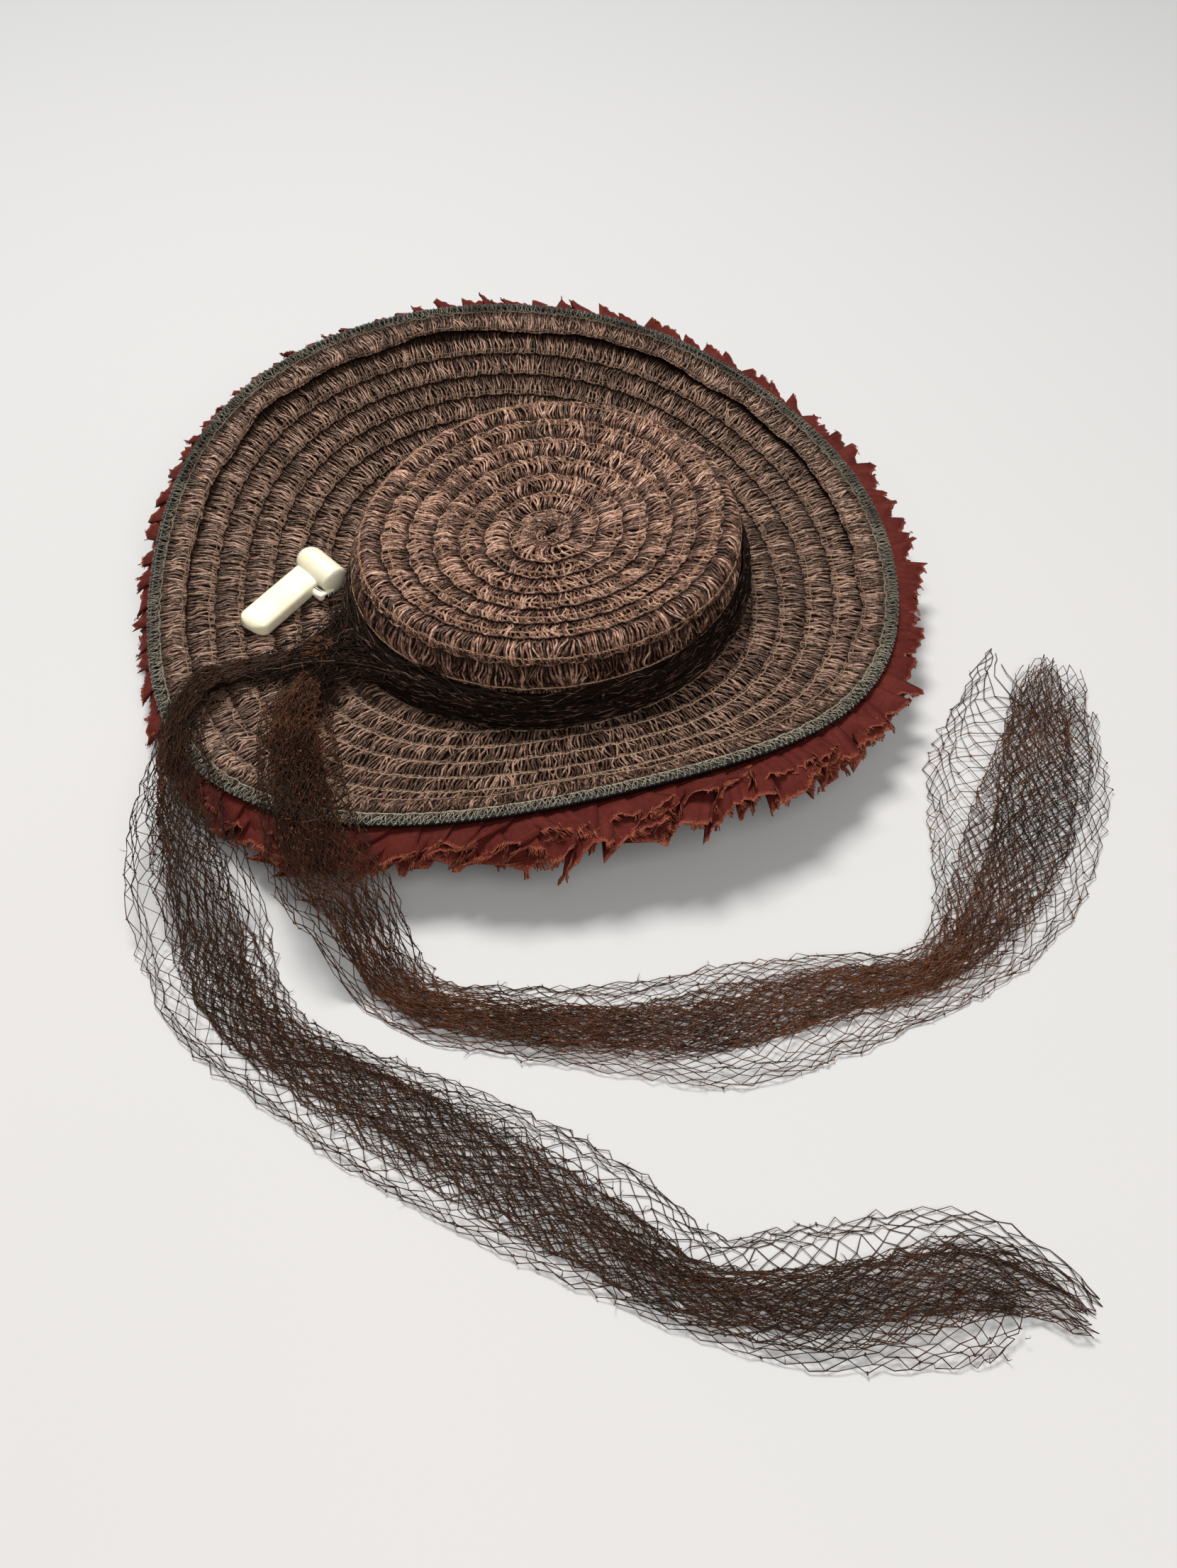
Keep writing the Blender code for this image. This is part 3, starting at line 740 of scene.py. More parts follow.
@dataclass(frozen=True)
class SatinCordFinish:
    """Satin bound wire: close glossy turns of dark floss, with painted sheen in soft patches and painted
    shade between the turns.
    """

    name: str
    base: Colour
    glint: Colour
    pitch: float = 0.42
    relief: float = 0.00012

    def material(self) -> bpy.types.Material:
        """Builds the material."""
        start = start_material(self.name, {"Specular IOR Level": 0.35, "Coat Weight": 0.12,
                                           "Coat Roughness": 0.2})
        bench = start.bench
        turns = start.twisted(self.pitch, 1.0)
        mask = turns.outputs["Mask"]
        # Painted sheen: the glint tone is laid in soft patches.
        tone = start.patchy_tone(70.0, 0.3, (self.base, self.glint, self.base))
        # Painted shade: the grooves between the turns blend to the dark base tone.
        start.feed("Base Color", bench.blend(bench.remap(mask, 0.0, 1.0, 0.6, 0.0), tone, opaque(self.base)))
        start.feed("Roughness", bench.remap(mask, 0.0, 1.0, 0.55, 0.3))
        start.emboss(turns.outputs["Height"], self.relief)
        return start.material


@dataclass(frozen=True)
class RibbonFinish:
    """Ribbed ribbon: fine ridges across its length, with painted shade in the grooves between them, darker in
    speckled patches and paler at the cut edge.
    """

    name: str
    base: Colour
    worn: Colour
    deep: Colour
    fray: Colour
    rib: float = 0.45
    relief: float = 0.00012
    glint: Colour = (1.0, 0.5, 0.4)

    def material(self) -> bpy.types.Material:
        """Builds the material: U counts millimetres along the ribbon and V runs to 1 at the cut edge."""
        start = start_material(self.name, {"Specular IOR Level": 0.2, "Specular Tint": opaque(self.glint)})
        bench = start.bench
        place = bench.add("SeparateXYZ", {0: start.uv})
        slanted = bench.math("MULTIPLY_ADD", place.outputs["Y"], 14.0, place.outputs["X"])
        rib = bench.wave(bench.math("DIVIDE", slanted, self.rib))
        tone = start.patchy_tone(85.0, 0.35, (self.base, self.worn, self.deep))
        grain = bench.noise(start.place, 1500.0, 2.0)
        # Painted shade: the grooves between the ribs blend to the deep tone.
        ribbed = bench.blend(bench.remap(rib, 0.0, 0.8, 0.42, 0.0), tone, opaque(self.deep))
        cut = bench.math("ADD", place.outputs["Y"], bench.math("MULTIPLY_ADD", grain, 0.16, -0.08))
        at_cut = bench.remap(cut, 0.95, 1.03, 0.0, 0.9)
        start.feed("Base Color", bench.blend(at_cut, ribbed, opaque(self.fray)))
        start.feed("Roughness", bench.remap(grain, 0.3, 0.7, 0.6, 0.85))
        start.emboss(bench.math("MULTIPLY_ADD", grain, 0.7, rib), self.relief)
        return start.material


@dataclass(frozen=True)
class MouldingFinish:
    """Smooth old cream moulding: warm patches, a faint film of dust and tiny pits."""

    name: str
    base: Colour
    warm: Colour
    soil: Colour
    relief: float = 0.00006

    def material(self) -> bpy.types.Material:
        """Builds the material."""
        start = start_material(self.name, {"Subsurface Weight": 0.15, "Subsurface Scale": 0.003,
                                           "Coat Weight": 0.4, "Coat Roughness": 0.12})
        pits = start.bench.noise(start.place, 700.0, 3.0)
        start.feed("Base Color", start.patchy_tone(55.0, 0.08, (self.base, self.warm, self.soil)))
        start.feed("Roughness", start.bench.remap(pits, 0.3, 0.7, 0.22, 0.4))
        start.emboss(pits, self.relief)
        return start.material


@dataclass(frozen=True)
class FloorFinish:
    """A plain pale surface with a very faint mottle, and painted shade that makes it greyer further away."""

    name: str = "pale floor"
    base: Colour = (0.560, 0.545, 0.536)
    other: Colour = (0.545, 0.538, 0.533)
    # Painted shade for the far part of the floor.
    away: Colour = (0.405, 0.412, 0.415)

    def material(self) -> bpy.types.Material:
        """Builds the material."""
        start = start_material(self.name, {"Roughness": 0.8})
        bench = start.bench
        far = bench.add("SeparateXYZ", {0: start.place}).outputs["Y"]
        tone = start.patchy_tone(2.2, 0.02, (self.base, self.other, self.other))
        # Painted shade: the floor blends to the greyer tone towards the far side.
        start.feed("Base Color", bench.blend(bench.remap(far, -0.35, 0.75), tone, opaque(self.away)))
        return start.material


CROWN_STRAW = StrandFinish("crown straw", (0.022, 0.0090, 0.0058), (0.195, 0.089, 0.060), (0.66, 0.41, 0.30))
BRIM_STRAW = StrandFinish("brim straw", (0.024, 0.0112, 0.0070), (0.094, 0.045, 0.030), (0.44, 0.275, 0.200))
CROWN_BED = BraidBedFinish("crown braid bed", (0.010, 0.004, 0.003), (0.09, 0.042, 0.028))
BRIM_BED = BraidBedFinish("brim braid bed", (0.008, 0.004, 0.003), (0.060, 0.030, 0.019))
TAN_THREAD = ThreadFinish("tan thread", (0.50, 0.285, 0.17), (0.70, 0.44, 0.28), (0.22, 0.11, 0.06))
LIP_THREAD = ThreadFinish("lip thread", (0.125, 0.078, 0.050), (0.56, 0.39, 0.265), (0.05, 0.029, 0.019))
EDGE_THREAD = ThreadFinish("edge thread", (0.095, 0.088, 0.064), (0.56, 0.52, 0.40), (0.030, 0.029, 0.023))
SATIN = SatinCordFinish("black satin", (0.003, 0.0034, 0.0034), (0.010, 0.012, 0.0115))
RIBBON = RibbonFinish(
    "rust ribbon", (0.094, 0.0138, 0.0112), (0.130, 0.022, 0.0165), (0.021, 0.0032, 0.0028),
    (0.37, 0.108, 0.060))
DARK_NET = ThreadFinish(
    "dark net", (0.0052, 0.0030, 0.0027), (0.019, 0.0095, 0.0070), (0.0016, 0.0011, 0.0010),
    roughness=0.5, shine=0.2, scale=30.0, pitch=0.6, pale=(0.23, 0.125, 0.090), pale_above=0.55)
BROWN_NET = ThreadFinish(
    "brown net", (0.020, 0.0085, 0.0050), (0.105, 0.040, 0.0205), (0.0050, 0.0027, 0.0019),
    roughness=0.5, shine=0.25, scale=26.0, pitch=0.6, pale=(0.32, 0.155, 0.090), pale_above=0.75)
COPPER_NET = ThreadFinish(
    "copper net", (0.036, 0.0135, 0.0072), (0.215, 0.075, 0.036), (0.0060, 0.0030, 0.0020),
    roughness=0.5, shine=0.25, scale=22.0, pitch=0.6, pale=(0.46, 0.20, 0.11), pale_above=0.75)
CREAM = MouldingFinish("cream moulding", (0.87, 0.825, 0.65), (0.87, 0.78, 0.54), (0.50, 0.40, 0.25))


@dataclass
class HatShape:
    """The hat's own surfaces, from the same sections and sizes as its solids."""

    wall: float = 1.6
    relief: float = 1.0
    gap: float = 0.35
    top_rows: int = 7
    dish: float = 9.0
    corner: float = 6.0
    wall_steps: tuple[float, ...] = (0.06, 0.38, 0.70, 1.0)
    root_slope: float = 10.0
    brim_rows: int = 7
    row_pitch: float = 11.0
    band_width: float = 14.0
    band_tuck: float = 4.0
    row_least: float = 0.9
    frill_root: float = 12.0
    frill_droop: float = 25.0
    frill_room: float = 1.3

    def around(self, column: str, bearing: Array) -> Array:
        """The smooth closed curve through one column of the sections, as a sum of its waves."""
        values = np.array([getattr(section, column) for section in SECTIONS], float)
        waves = np.fft.rfft(values) / len(values)
        order = np.arange(len(waves))
        share = np.where((order == 0) | (order == len(values) // 2), 1.0, 2.0)
        turns = np.exp(1j * order * np.asarray(bearing, float)[..., None])
        return (turns * (waves * share)).real.sum(-1)

    def crown(self, bearing: Array, place: Array, lift: Array | float) -> Array:
        """A point of the crown: 0 to 1 crosses the top, 1 to 2 turns the rim, 2 to 3 goes down the wall.

        The top's depth falls off with the square of the radius, the rim is a quarter circle and the wall a
        straight cone. The lift is measured along the surface's normal.
        """
        bearing, place, lift = np.broadcast_arrays(bearing, place, lift)
        columns = ("crown_radius", "crown_height", "wall_flare")
        rim, high, flare = (self.around(column, bearing) for column in columns)
        flat = rim - self.corner
        top = np.clip(place, 0, 1)
        turn = np.clip(place - 1, 0, 1) * math.pi / 2
        down = np.clip(place - 2, 0, 1)
        lean = np.where(place <= 1, -np.arctan(2 * self.dish * top / flat), turn)
        radius = flat * top + self.corner * np.sin(turn) + flare * down + lift * np.sin(lean)
        height = (high - self.dish * (1 - top ** 2) - self.corner * (1 - np.cos(turn))
                  - (high - self.corner) * down + lift * np.cos(lean))
        return polar(bearing, radius, height)

    def brim_root(self, bearing: Array) -> Array:
        """The brim's inner radius, just outside the crown's foot."""
        foot = self.around("crown_radius", bearing) + self.around("wall_flare", bearing)
        return foot + self.relief + self.gap

    def brim_profile(self, bearing: Array, reach: Array, lift: Array | float) -> tuple[Array, Array]:
        """Radius and height at a length along the brim, whose slope grows evenly from root to edge."""
        start = math.radians(self.root_slope)
        bend = (np.radians(self.around("edge_slope", bearing)) - start) / self.around("brim_reach", bearing)
        middle = start + bend * reach / 2
        chord = reach * np.sinc(bend * reach / 2 / math.pi)
        lean = start + bend * reach
        radius = self.brim_root(bearing) + chord * np.cos(middle) - lift * np.sin(lean)
        return radius, self.gap + chord * np.sin(middle) + lift * np.cos(lean)

    def brim(self, bearing: Array, reach: Array, lift: Array | float) -> Array:
        """A point of the brim, at a length along it and a lift above its underside."""
        bearing, reach, lift = np.broadcast_arrays(bearing, reach, lift)
        radius, height = self.brim_profile(bearing, reach, lift)
        return polar(bearing, radius, height)

    def row_lines(self, bearing: Array) -> list[Array]:
        """The reach at which each row of the brim starts, from the crown to the edge band."""
        reach = self.around("brim_reach", bearing)
        lines = [0 * reach]
        for row in range(self.brim_rows):
            line = reach - self.band_width - self.row_pitch * (self.brim_rows - 1 - row)
            lines.append(np.maximum(line, (row + 1) * self.row_least))
        return lines

    def frill(self, bearing: Array, past: Array, lift: Array | float) -> Array:
        """A point of the ribbon, at a length past the brim's edge (less than 0 is under the brim)."""
        bearing, past, lift = np.broadcast_arrays(bearing, past, lift)
        edge = self.around("brim_reach", bearing)
        radius, height = self.brim_profile(bearing, edge + np.minimum(past, 0), lift)
        lean = np.radians(self.around("edge_slope", bearing) - self.frill_droop)
        radius = radius + np.maximum(past, 0) * np.cos(lean)
        height = height + np.maximum(past, 0) * np.sin(lean)
        return polar(bearing, radius, height)

    def ground(self, x: Array, y: Array) -> Array:
        """The height of what a tail lies on: lines between the brim's, the band's and the frill's heights."""
        bearing, radius = np.arctan2(y, x), np.hypot(x, y)
        edge = self.around("brim_reach", bearing)
        frill = self.around("frill_reach", bearing)
        top = self.wall + self.relief
        stops = [self.brim_profile(bearing, 0 * edge, top)]
        for inside, lift in ((self.band_width + 2, top), (self.band_width, 5.8), (7.0, 4.6), (0.0, 3.4)):
            stops.append(self.brim_profile(bearing, edge - inside, lift))
        tip = self.frill(bearing, frill * self.frill_room, 1.5)
        stops.append((np.hypot(tip[..., 0], tip[..., 1]), tip[..., 2]))
        height = np.array(stops[0][1])
        for (near, low), (far, high) in zip(stops[:-1], stops[1:]):
            share = np.clip((radius - near) / np.maximum(far - near, 1e-6), 0, 1)
            height = np.where(radius > near, low + (high - low) * share, height)
        return height * (1 - np.clip((radius - stops[-1][0]) / 0.5, 0, 1))


SHAPE = HatShape()


@dataclass
class StrandCut:
    """How the strands of a braid are cut, laid and sewn, in millimetres."""

    pitch: float = 0.92
    stations: int = 6
    half_width: tuple[float, float] = (0.40, 0.70)
    half_height: float = 0.38
    slant: float = 2.0
    slant_spread: float = 2.0
    curl: float = 0.75
    loose: float = 0.6
    scallop: float = 10.0
    scallop_depth: float = 1.1
    tuck: float = 1.4
    gather: float = 2.3
    sewn_at: float = 0.75
    pressed: float = 0.35
    # Painted highlight on the raised lip of each strand.
    lip_painted_highlight: float = 0.25
    bead: float = 0.5
    # Painted shade on the tucked start of each strand, under the overlapping row's edge.
    shadow: float = 0.85
    kink: float = 0.17
    flare: float = 0.35


def edge_wave(run: Array, cut: StrandCut, seed: int) -> Array:
    """How far a row's raised edge stands proud: the size of a sine, less a small cosine for each stitch."""
    wave = np.abs(np.sin(math.pi * run / cut.scallop + 0.8 * ripple(seed + 1, run, 0.06)))
    return cut.scallop_depth * (wave - 0.5) - 0.3 * np.cos(FULL_TURN * run / cut.gather)


def braid_row(surface: Surface, bearing: Array, inner: Array, outer: Array, radius: Array, run: Array,
              cut: StrandCut, side: Side, lift_of: Callable[[Array], Array], seed: int) -> MeshParts:
    """The strands of a row of braid, each an S-curve across the row between its two edges.

    Along a strand the share goes from 0 at the tucked edge to 1 at the raised one. Slant and curl swing
    slowly along the row, so that neighbours lie alike, and at the stitches each strand is drawn towards the
    nearest stitch and pressed down, by a bell of the share round the place where the row is sewn.

    Args:
        surface: Gives points for a bearing, a reach and a lift.
        bearing: The middle bearing of each strand.
        inner: The reach of the row's inner edge at each strand.
        outer: The reach of its outer edge.
        radius: The distance from the crown's axis, which turns millimetres into a bearing.
        run: Millimetres along the row, which the scallops count.
        cut: How strands are cut.
        side: Which edge is raised.
        lift_of: The lift for a share across the row.
        seed: Fixes the random draws.

    Returns:
        The strands' mesh.
    """
    draw = np.random.default_rng(seed)
    count = len(bearing)
    share = np.linspace(0, 1, cut.stations)[None, :]
    stitch = FULL_TURN * run / cut.gather
    proud = edge_wave(run, cut, seed) + draw.normal(0, 0.1, count)
    low, high = (inner, outer) if side is Side.RAISED_OUTSIDE else (outer, inner)
    away = np.sign(high - low)
    start, end = low - away * cut.tuck, high + away * proud
    reach = start[:, None] + (end - start)[:, None] * share
    lean = cut.slant + cut.slant_spread * ripple(seed + 3, run, 0.35) + draw.normal(0, cut.loose, count)
    lean = lean * (1 + 1.6 * np.exp(-radius / 9.0))
    curl = cut.curl * (1 + 0.8 * ripple(seed + 4, run, 0.5)) + draw.normal(0, 0.6 * cut.loose, count)
    phase = 0.16 * ripple(seed + 5, run, 0.2) + draw.normal(0, 0.05, count)
    sewn = np.exp(-((share - cut.sewn_at) / 0.14) ** 2)
    aside = lean[:, None] * (share - 0.5) + curl[:, None] * np.sin(FULL_TURN * (share + phase[:, None]))
    kinks = cut.kink * draw.normal(0, 1, (2, count, cut.stations))
    aside = aside + 0.15 * cut.gather * np.sin(stitch)[:, None] * sewn + kinks[0]
    turned = bearing[:, None] + aside / np.maximum(radius, 6.0)[:, None]
    bow = draw.normal(0, 0.12, count)[:, None] + 0.25 * np.sin(math.pi * share) + kinks[1]
    lift = lift_of(share) + bow - cut.pressed * sewn
    path, normal = raised(surface, turned, reach, lift)
    wide = draw.uniform(*cut.half_width, count)[:, None]
    wide = wide * (0.75 + 0.32 * np.sin(math.pi * (share * 1.6 + draw.uniform(0, 1, count)[:, None])) ** 2)
    wide = wide * (1 + cut.flare * share ** 2)
    high_half = cut.half_height * (0.8 + 0.4 * draw.random(count))[:, None] + 0 * share
    tint = np.clip(draw.normal(0.47, 0.30, count) + 0.14 * ripple(seed + 2, run, 0.3), -0.2, 1.1)
    # Painted shade darkens each strand's tucked start under the overlapping row's edge and, a little, the
    # pressed stitch line; a painted highlight lightens its raised lip.
    under = cut.shadow * (1 - step_between(0.0, 0.45, share))
    shade = tint[:, None] - under - 0.15 * sewn + cut.lip_painted_highlight * share ** 5
    return strands(path, normal, wide, high_half, tint=np.clip(shade, -0.3, 1.3))


def bound_edge(surface: Surface, bearing: Array, edge: Array, run: Array, lift: float, cut: StrandCut,
               side: Side, seed: int) -> MeshParts:
    """The fine plait that holds the ends of a row's strands, along its raised edge.

    Args:
        surface: Gives points for a bearing, a reach and a lift.
        bearing: The bearing of each station.
        edge: The reach of the row's edge there.
        run: Millimetres along the row.
        lift: How high the plait lies.
        cut: How strands are cut.
        side: Which edge of the row it is.
        seed: The same as the row's, so that both wave alike.

    Returns:
        The plait's mesh.
    """
    away = 1.0 if side is Side.RAISED_OUTSIDE else -1.0
    reach = edge + away * edge_wave(run, cut, seed)
    knots = np.sin(FULL_TURN * run / cut.gather)
    path, normal = raised(surface, bearing, reach, lift + 0.12 * knots)
    wide = cut.bead * (1 + 0.25 * ripple(seed + 6, run, 1.3))
    tint = 0.45 + 0.3 * ripple(seed + 7, run, 0.8)
    return strands(path[None], normal[None], wide[None], 0.8 * wide[None], tint=tint[None])


def chain_stitch(at: Surface, length: float, pitch: float, half: float,
                 radius: float, lift: float, looped: bool = True, paler: float = 0.0) -> list[MeshParts]:
    """Two threads that cross once a stitch, as the two sides of a chain of loops.

    Args:
        at: Gives points for a share along the row, an offset across it and a lift.
        length: The row's length.
        pitch: The length of one stitch.
        half: Half the width of a loop.
        radius: The thread's radius.
        lift: How far the thread lies above the row.
        looped: Whether the row closes on itself.
        paler: How much paler the thread is on the near side, as painted light, where the share counts one
            turn.

    Returns:
        The two threads.
    """
    stitches = max(4, round(length / pitch))
    count = stitches * POINTS_PER_STITCH
    share = np.arange(count) / count
    made = []
    for hand in (-1, 1):
        phase = FULL_TURN * stitches * share / 2
        offset = hand * half * np.sin(phase)
        over = lift + hand * radius * 0.9 * np.cos(phase)
        path, normal = raised(at, share, offset, over)
        # Painted light: the thread is paler on the near side.
        tint = 0.25 + 0.2 * hand + paler * near_side(share * FULL_TURN)
        made.append(strands(path[None], normal[None], radius, radius, looped=looped, tint=tint[None]))
    return made


@dataclass
class StrawCrown:
    """The crown: one spiral of braid from the middle of the top, over the rim and down the wall."""

    cut: StrandCut = field(default_factory=StrandCut)
    turns_shown: float = 9.25
    row: float = 10.3
    coil_row: float = 3.1
    coil_turns: float = 2.6
    around: int = 120
    stitch_inside: tuple[float, float] = (2.6, 0.8)
    stitch_turns: tuple[float, float] = (6.2, 7.4)
    stitch_pitch: float = 2.3
    thread_radius: float = 0.17
    small_thread_radius: float = 0.15
    mean_radius: float = 70.0
    edge_lift: float = 1.25
    coil_edge_lift: float = 1.9
    seed: int = 11
    coil_seed: int = 17
    stitch_seed: int = 5

    def place_of(self, turns: Array) -> Array:
        """The place on the crown after a number of rows, evenly across the top and then row by row."""
        knots = [0.0, SHAPE.top_rows] + [SHAPE.top_rows + 1 + step for step in range(len(SHAPE.wall_steps))]
        places = [0.0, 1.0] + [2 + step for step in SHAPE.wall_steps]
        return np.interp(turns, knots, places)

    def surface(self, bearing: Array, turns: Array, lift: Array) -> Array:
        """A point of the crown, where the reach counts rows."""
        return SHAPE.crown(bearing, self.place_of(turns), lift)

    def lift_of(self, share: Array) -> Array:
        """A row rises from under the one inside it to its own outer edge, which turns down a little."""
        rising = (SHAPE.relief + 0.8) * step_between(0.08, 0.72, share)
        return rising - 0.5 * step_between(0.88, 1.0, share)

    def winding(self, spacing: float) -> tuple[Array, Array, Array]:
        """Evenly spaced places along the spiral.

        Args:
            spacing: Millimetres between places.

        Returns:
            The winding angle, the distance from the axis at the middle of the row, and millimetres run.
        """
        angle = np.linspace(0.25, self.turns_shown * FULL_TURN, 6000)
        middle = self.surface(angle, angle / FULL_TURN + 0.5, 0 * angle)
        radius = np.hypot(middle[:, 0], middle[:, 1])
        run = arc_run(angle, radius)
        wanted = np.arange(0, run[-1], spacing)
        return np.interp(wanted, run, angle), np.interp(wanted, run, radius), wanted

    def shell(self) -> MeshParts:
        """The dark bed: rings across the top, rim and wall, and back up inside."""
        bearing = full_turn(self.around)
        outer = np.concatenate([np.linspace(0.08, 1, 12), np.linspace(1.15, 2, 7), np.linspace(2.12, 3, 9)])
        inner = np.concatenate([np.linspace(3, 2.1, 8), np.linspace(2, 1.1, 6), np.linspace(0.95, 0.08, 9)])
        rings = [SHAPE.crown(bearing, place, 0.05) for place in outer]
        rings += [SHAPE.crown(bearing, place, -SHAPE.wall) for place in inner]
        across = np.concatenate([outer * self.mean_radius, 400 - inner * self.mean_radius])
        high = float(SHAPE.around("crown_height", bearing).mean()) - SHAPE.dish
        return wall(np.stack(rings), across, poles=((0, 0, high + 0.05), (0, 0, high - SHAPE.wall)))

    def strand_mesh(self) -> MeshParts:
        """Every strand of the spiral, with the reach counted in rows of about ten millimetres."""
        angle, radius, run = self.winding(self.cut.pitch)
        turns = angle / FULL_TURN
        inner = np.where(turns < 1, turns ** 3, turns)
        rows = braid_row(self._unrolled, angle, inner * self.row, (turns + 1) * self.row, radius, run,
                         self.cut, Side.RAISED_OUTSIDE, self.lift_of, self.seed)
        angle, _, run = self.winding(1.1)
        edge = bound_edge(self._unrolled, angle, (angle / FULL_TURN + 1) * self.row, run, self.edge_lift,
                          self.cut, Side.RAISED_OUTSIDE, self.seed)
        return joined([rows, edge, self.coil()])

    def coil(self) -> MeshParts:
        """The tight start of the plait, wound flat on the middle of the crown."""
        angle = np.sqrt(np.linspace(0.3, (self.coil_turns * FULL_TURN) ** 2, 150))
        reach = angle / FULL_TURN * self.coil_row
        run = arc_run(angle, reach)
        cut = StrandCut(stations=4, half_width=(0.3, 0.5), half_height=0.3, slant=1.4, slant_spread=0.6,
                        curl=0.2, scallop_depth=0.2, tuck=0.4, pressed=0.0)

        def flat(bearing: Array, out: Array, lift: Array) -> Array:
            """A point of the crown's middle, where the reach counts millimetres from the axis."""
            return SHAPE.crown(bearing, np.maximum(out, 0.05) / self.mean_radius, lift)

        def lift_of(share: Array) -> Array:
            """A coil rises over the one inside it, and turns down a little at its own outer edge."""
            return 1.5 + 0.7 * step_between(0.0, 0.6, share) - 0.3 * step_between(0.8, 1.0, share)

        rows = braid_row(flat, angle, reach, reach + self.coil_row, reach + 1, run, cut, Side.RAISED_OUTSIDE,
                         lift_of, self.coil_seed)
        edge = bound_edge(flat, angle, reach + self.coil_row, run, self.coil_edge_lift, cut,
                          Side.RAISED_OUTSIDE, self.coil_seed)
        return joined([rows, edge])

    def _unrolled(self, bearing: Array, reach: Array, lift: Array) -> Array:
        """A point of the crown, where the reach counts millimetres of row."""
        return self.surface(bearing, reach / self.row, lift)

    def stitches(self) -> MeshParts:
        """The chain of thread inside the row's outer edge, and the small stitches from it to the edge."""
        angle, _, run = self.winding(0.7)
        length = float(run[-1])
        share_of = run / length

        def at(share: Array, offset: Array, lift: Array) -> Array:
            """A point beside the stitch line; the offset is a share of the way to the row's edge."""
            turned = np.interp(share, share_of, angle)
            inside = np.interp(turned / FULL_TURN, self.stitch_turns, self.stitch_inside)
            wander = 0.22 * ripple(6, turned * 40, 0.9)
            row = turned / FULL_TURN + 1 - (inside * (1 - offset) + wander) / self.row
            return self.surface(turned, row, lift)

        parts = chain_stitch(at, length, self.stitch_pitch, 0.17, self.thread_radius, 1.85, looped=False)
        draw = np.random.default_rng(self.stitch_seed)
        count = int(length / self.stitch_pitch)
        share = (np.arange(count) + draw.uniform(-0.2, 0.2, count)) / count
        slope = draw.normal(0, 0.5, count) / length
        step = np.linspace(0, 1, 3)[None, :]
        hand = np.where(np.arange(count) % 2, 1, -1)[:, None]
        along = share[:, None] + (slope[:, None] + 0.9 / length * hand) * step
        offset = step * 0.85 + 0 * along
        lift = 2.0 - 0.8 * step ** 3 + 0 * along
        path, normal = raised(at, along, offset, lift)
        radius = self.small_thread_radius
        parts.append(strands(path, normal, radius, radius, tint=draw.uniform(0.0, 0.7, count)))
        return joined(parts)

    def build(self) -> None:
        """Adds the crown's pieces."""
        add_piece("crown_bed", self.shell(), CROWN_BED.material(), ("crown",))
        add_piece("crown_strands", self.strand_mesh(), CROWN_STRAW.material())
        add_piece("crown_stitching", self.stitches(), TAN_THREAD.material())


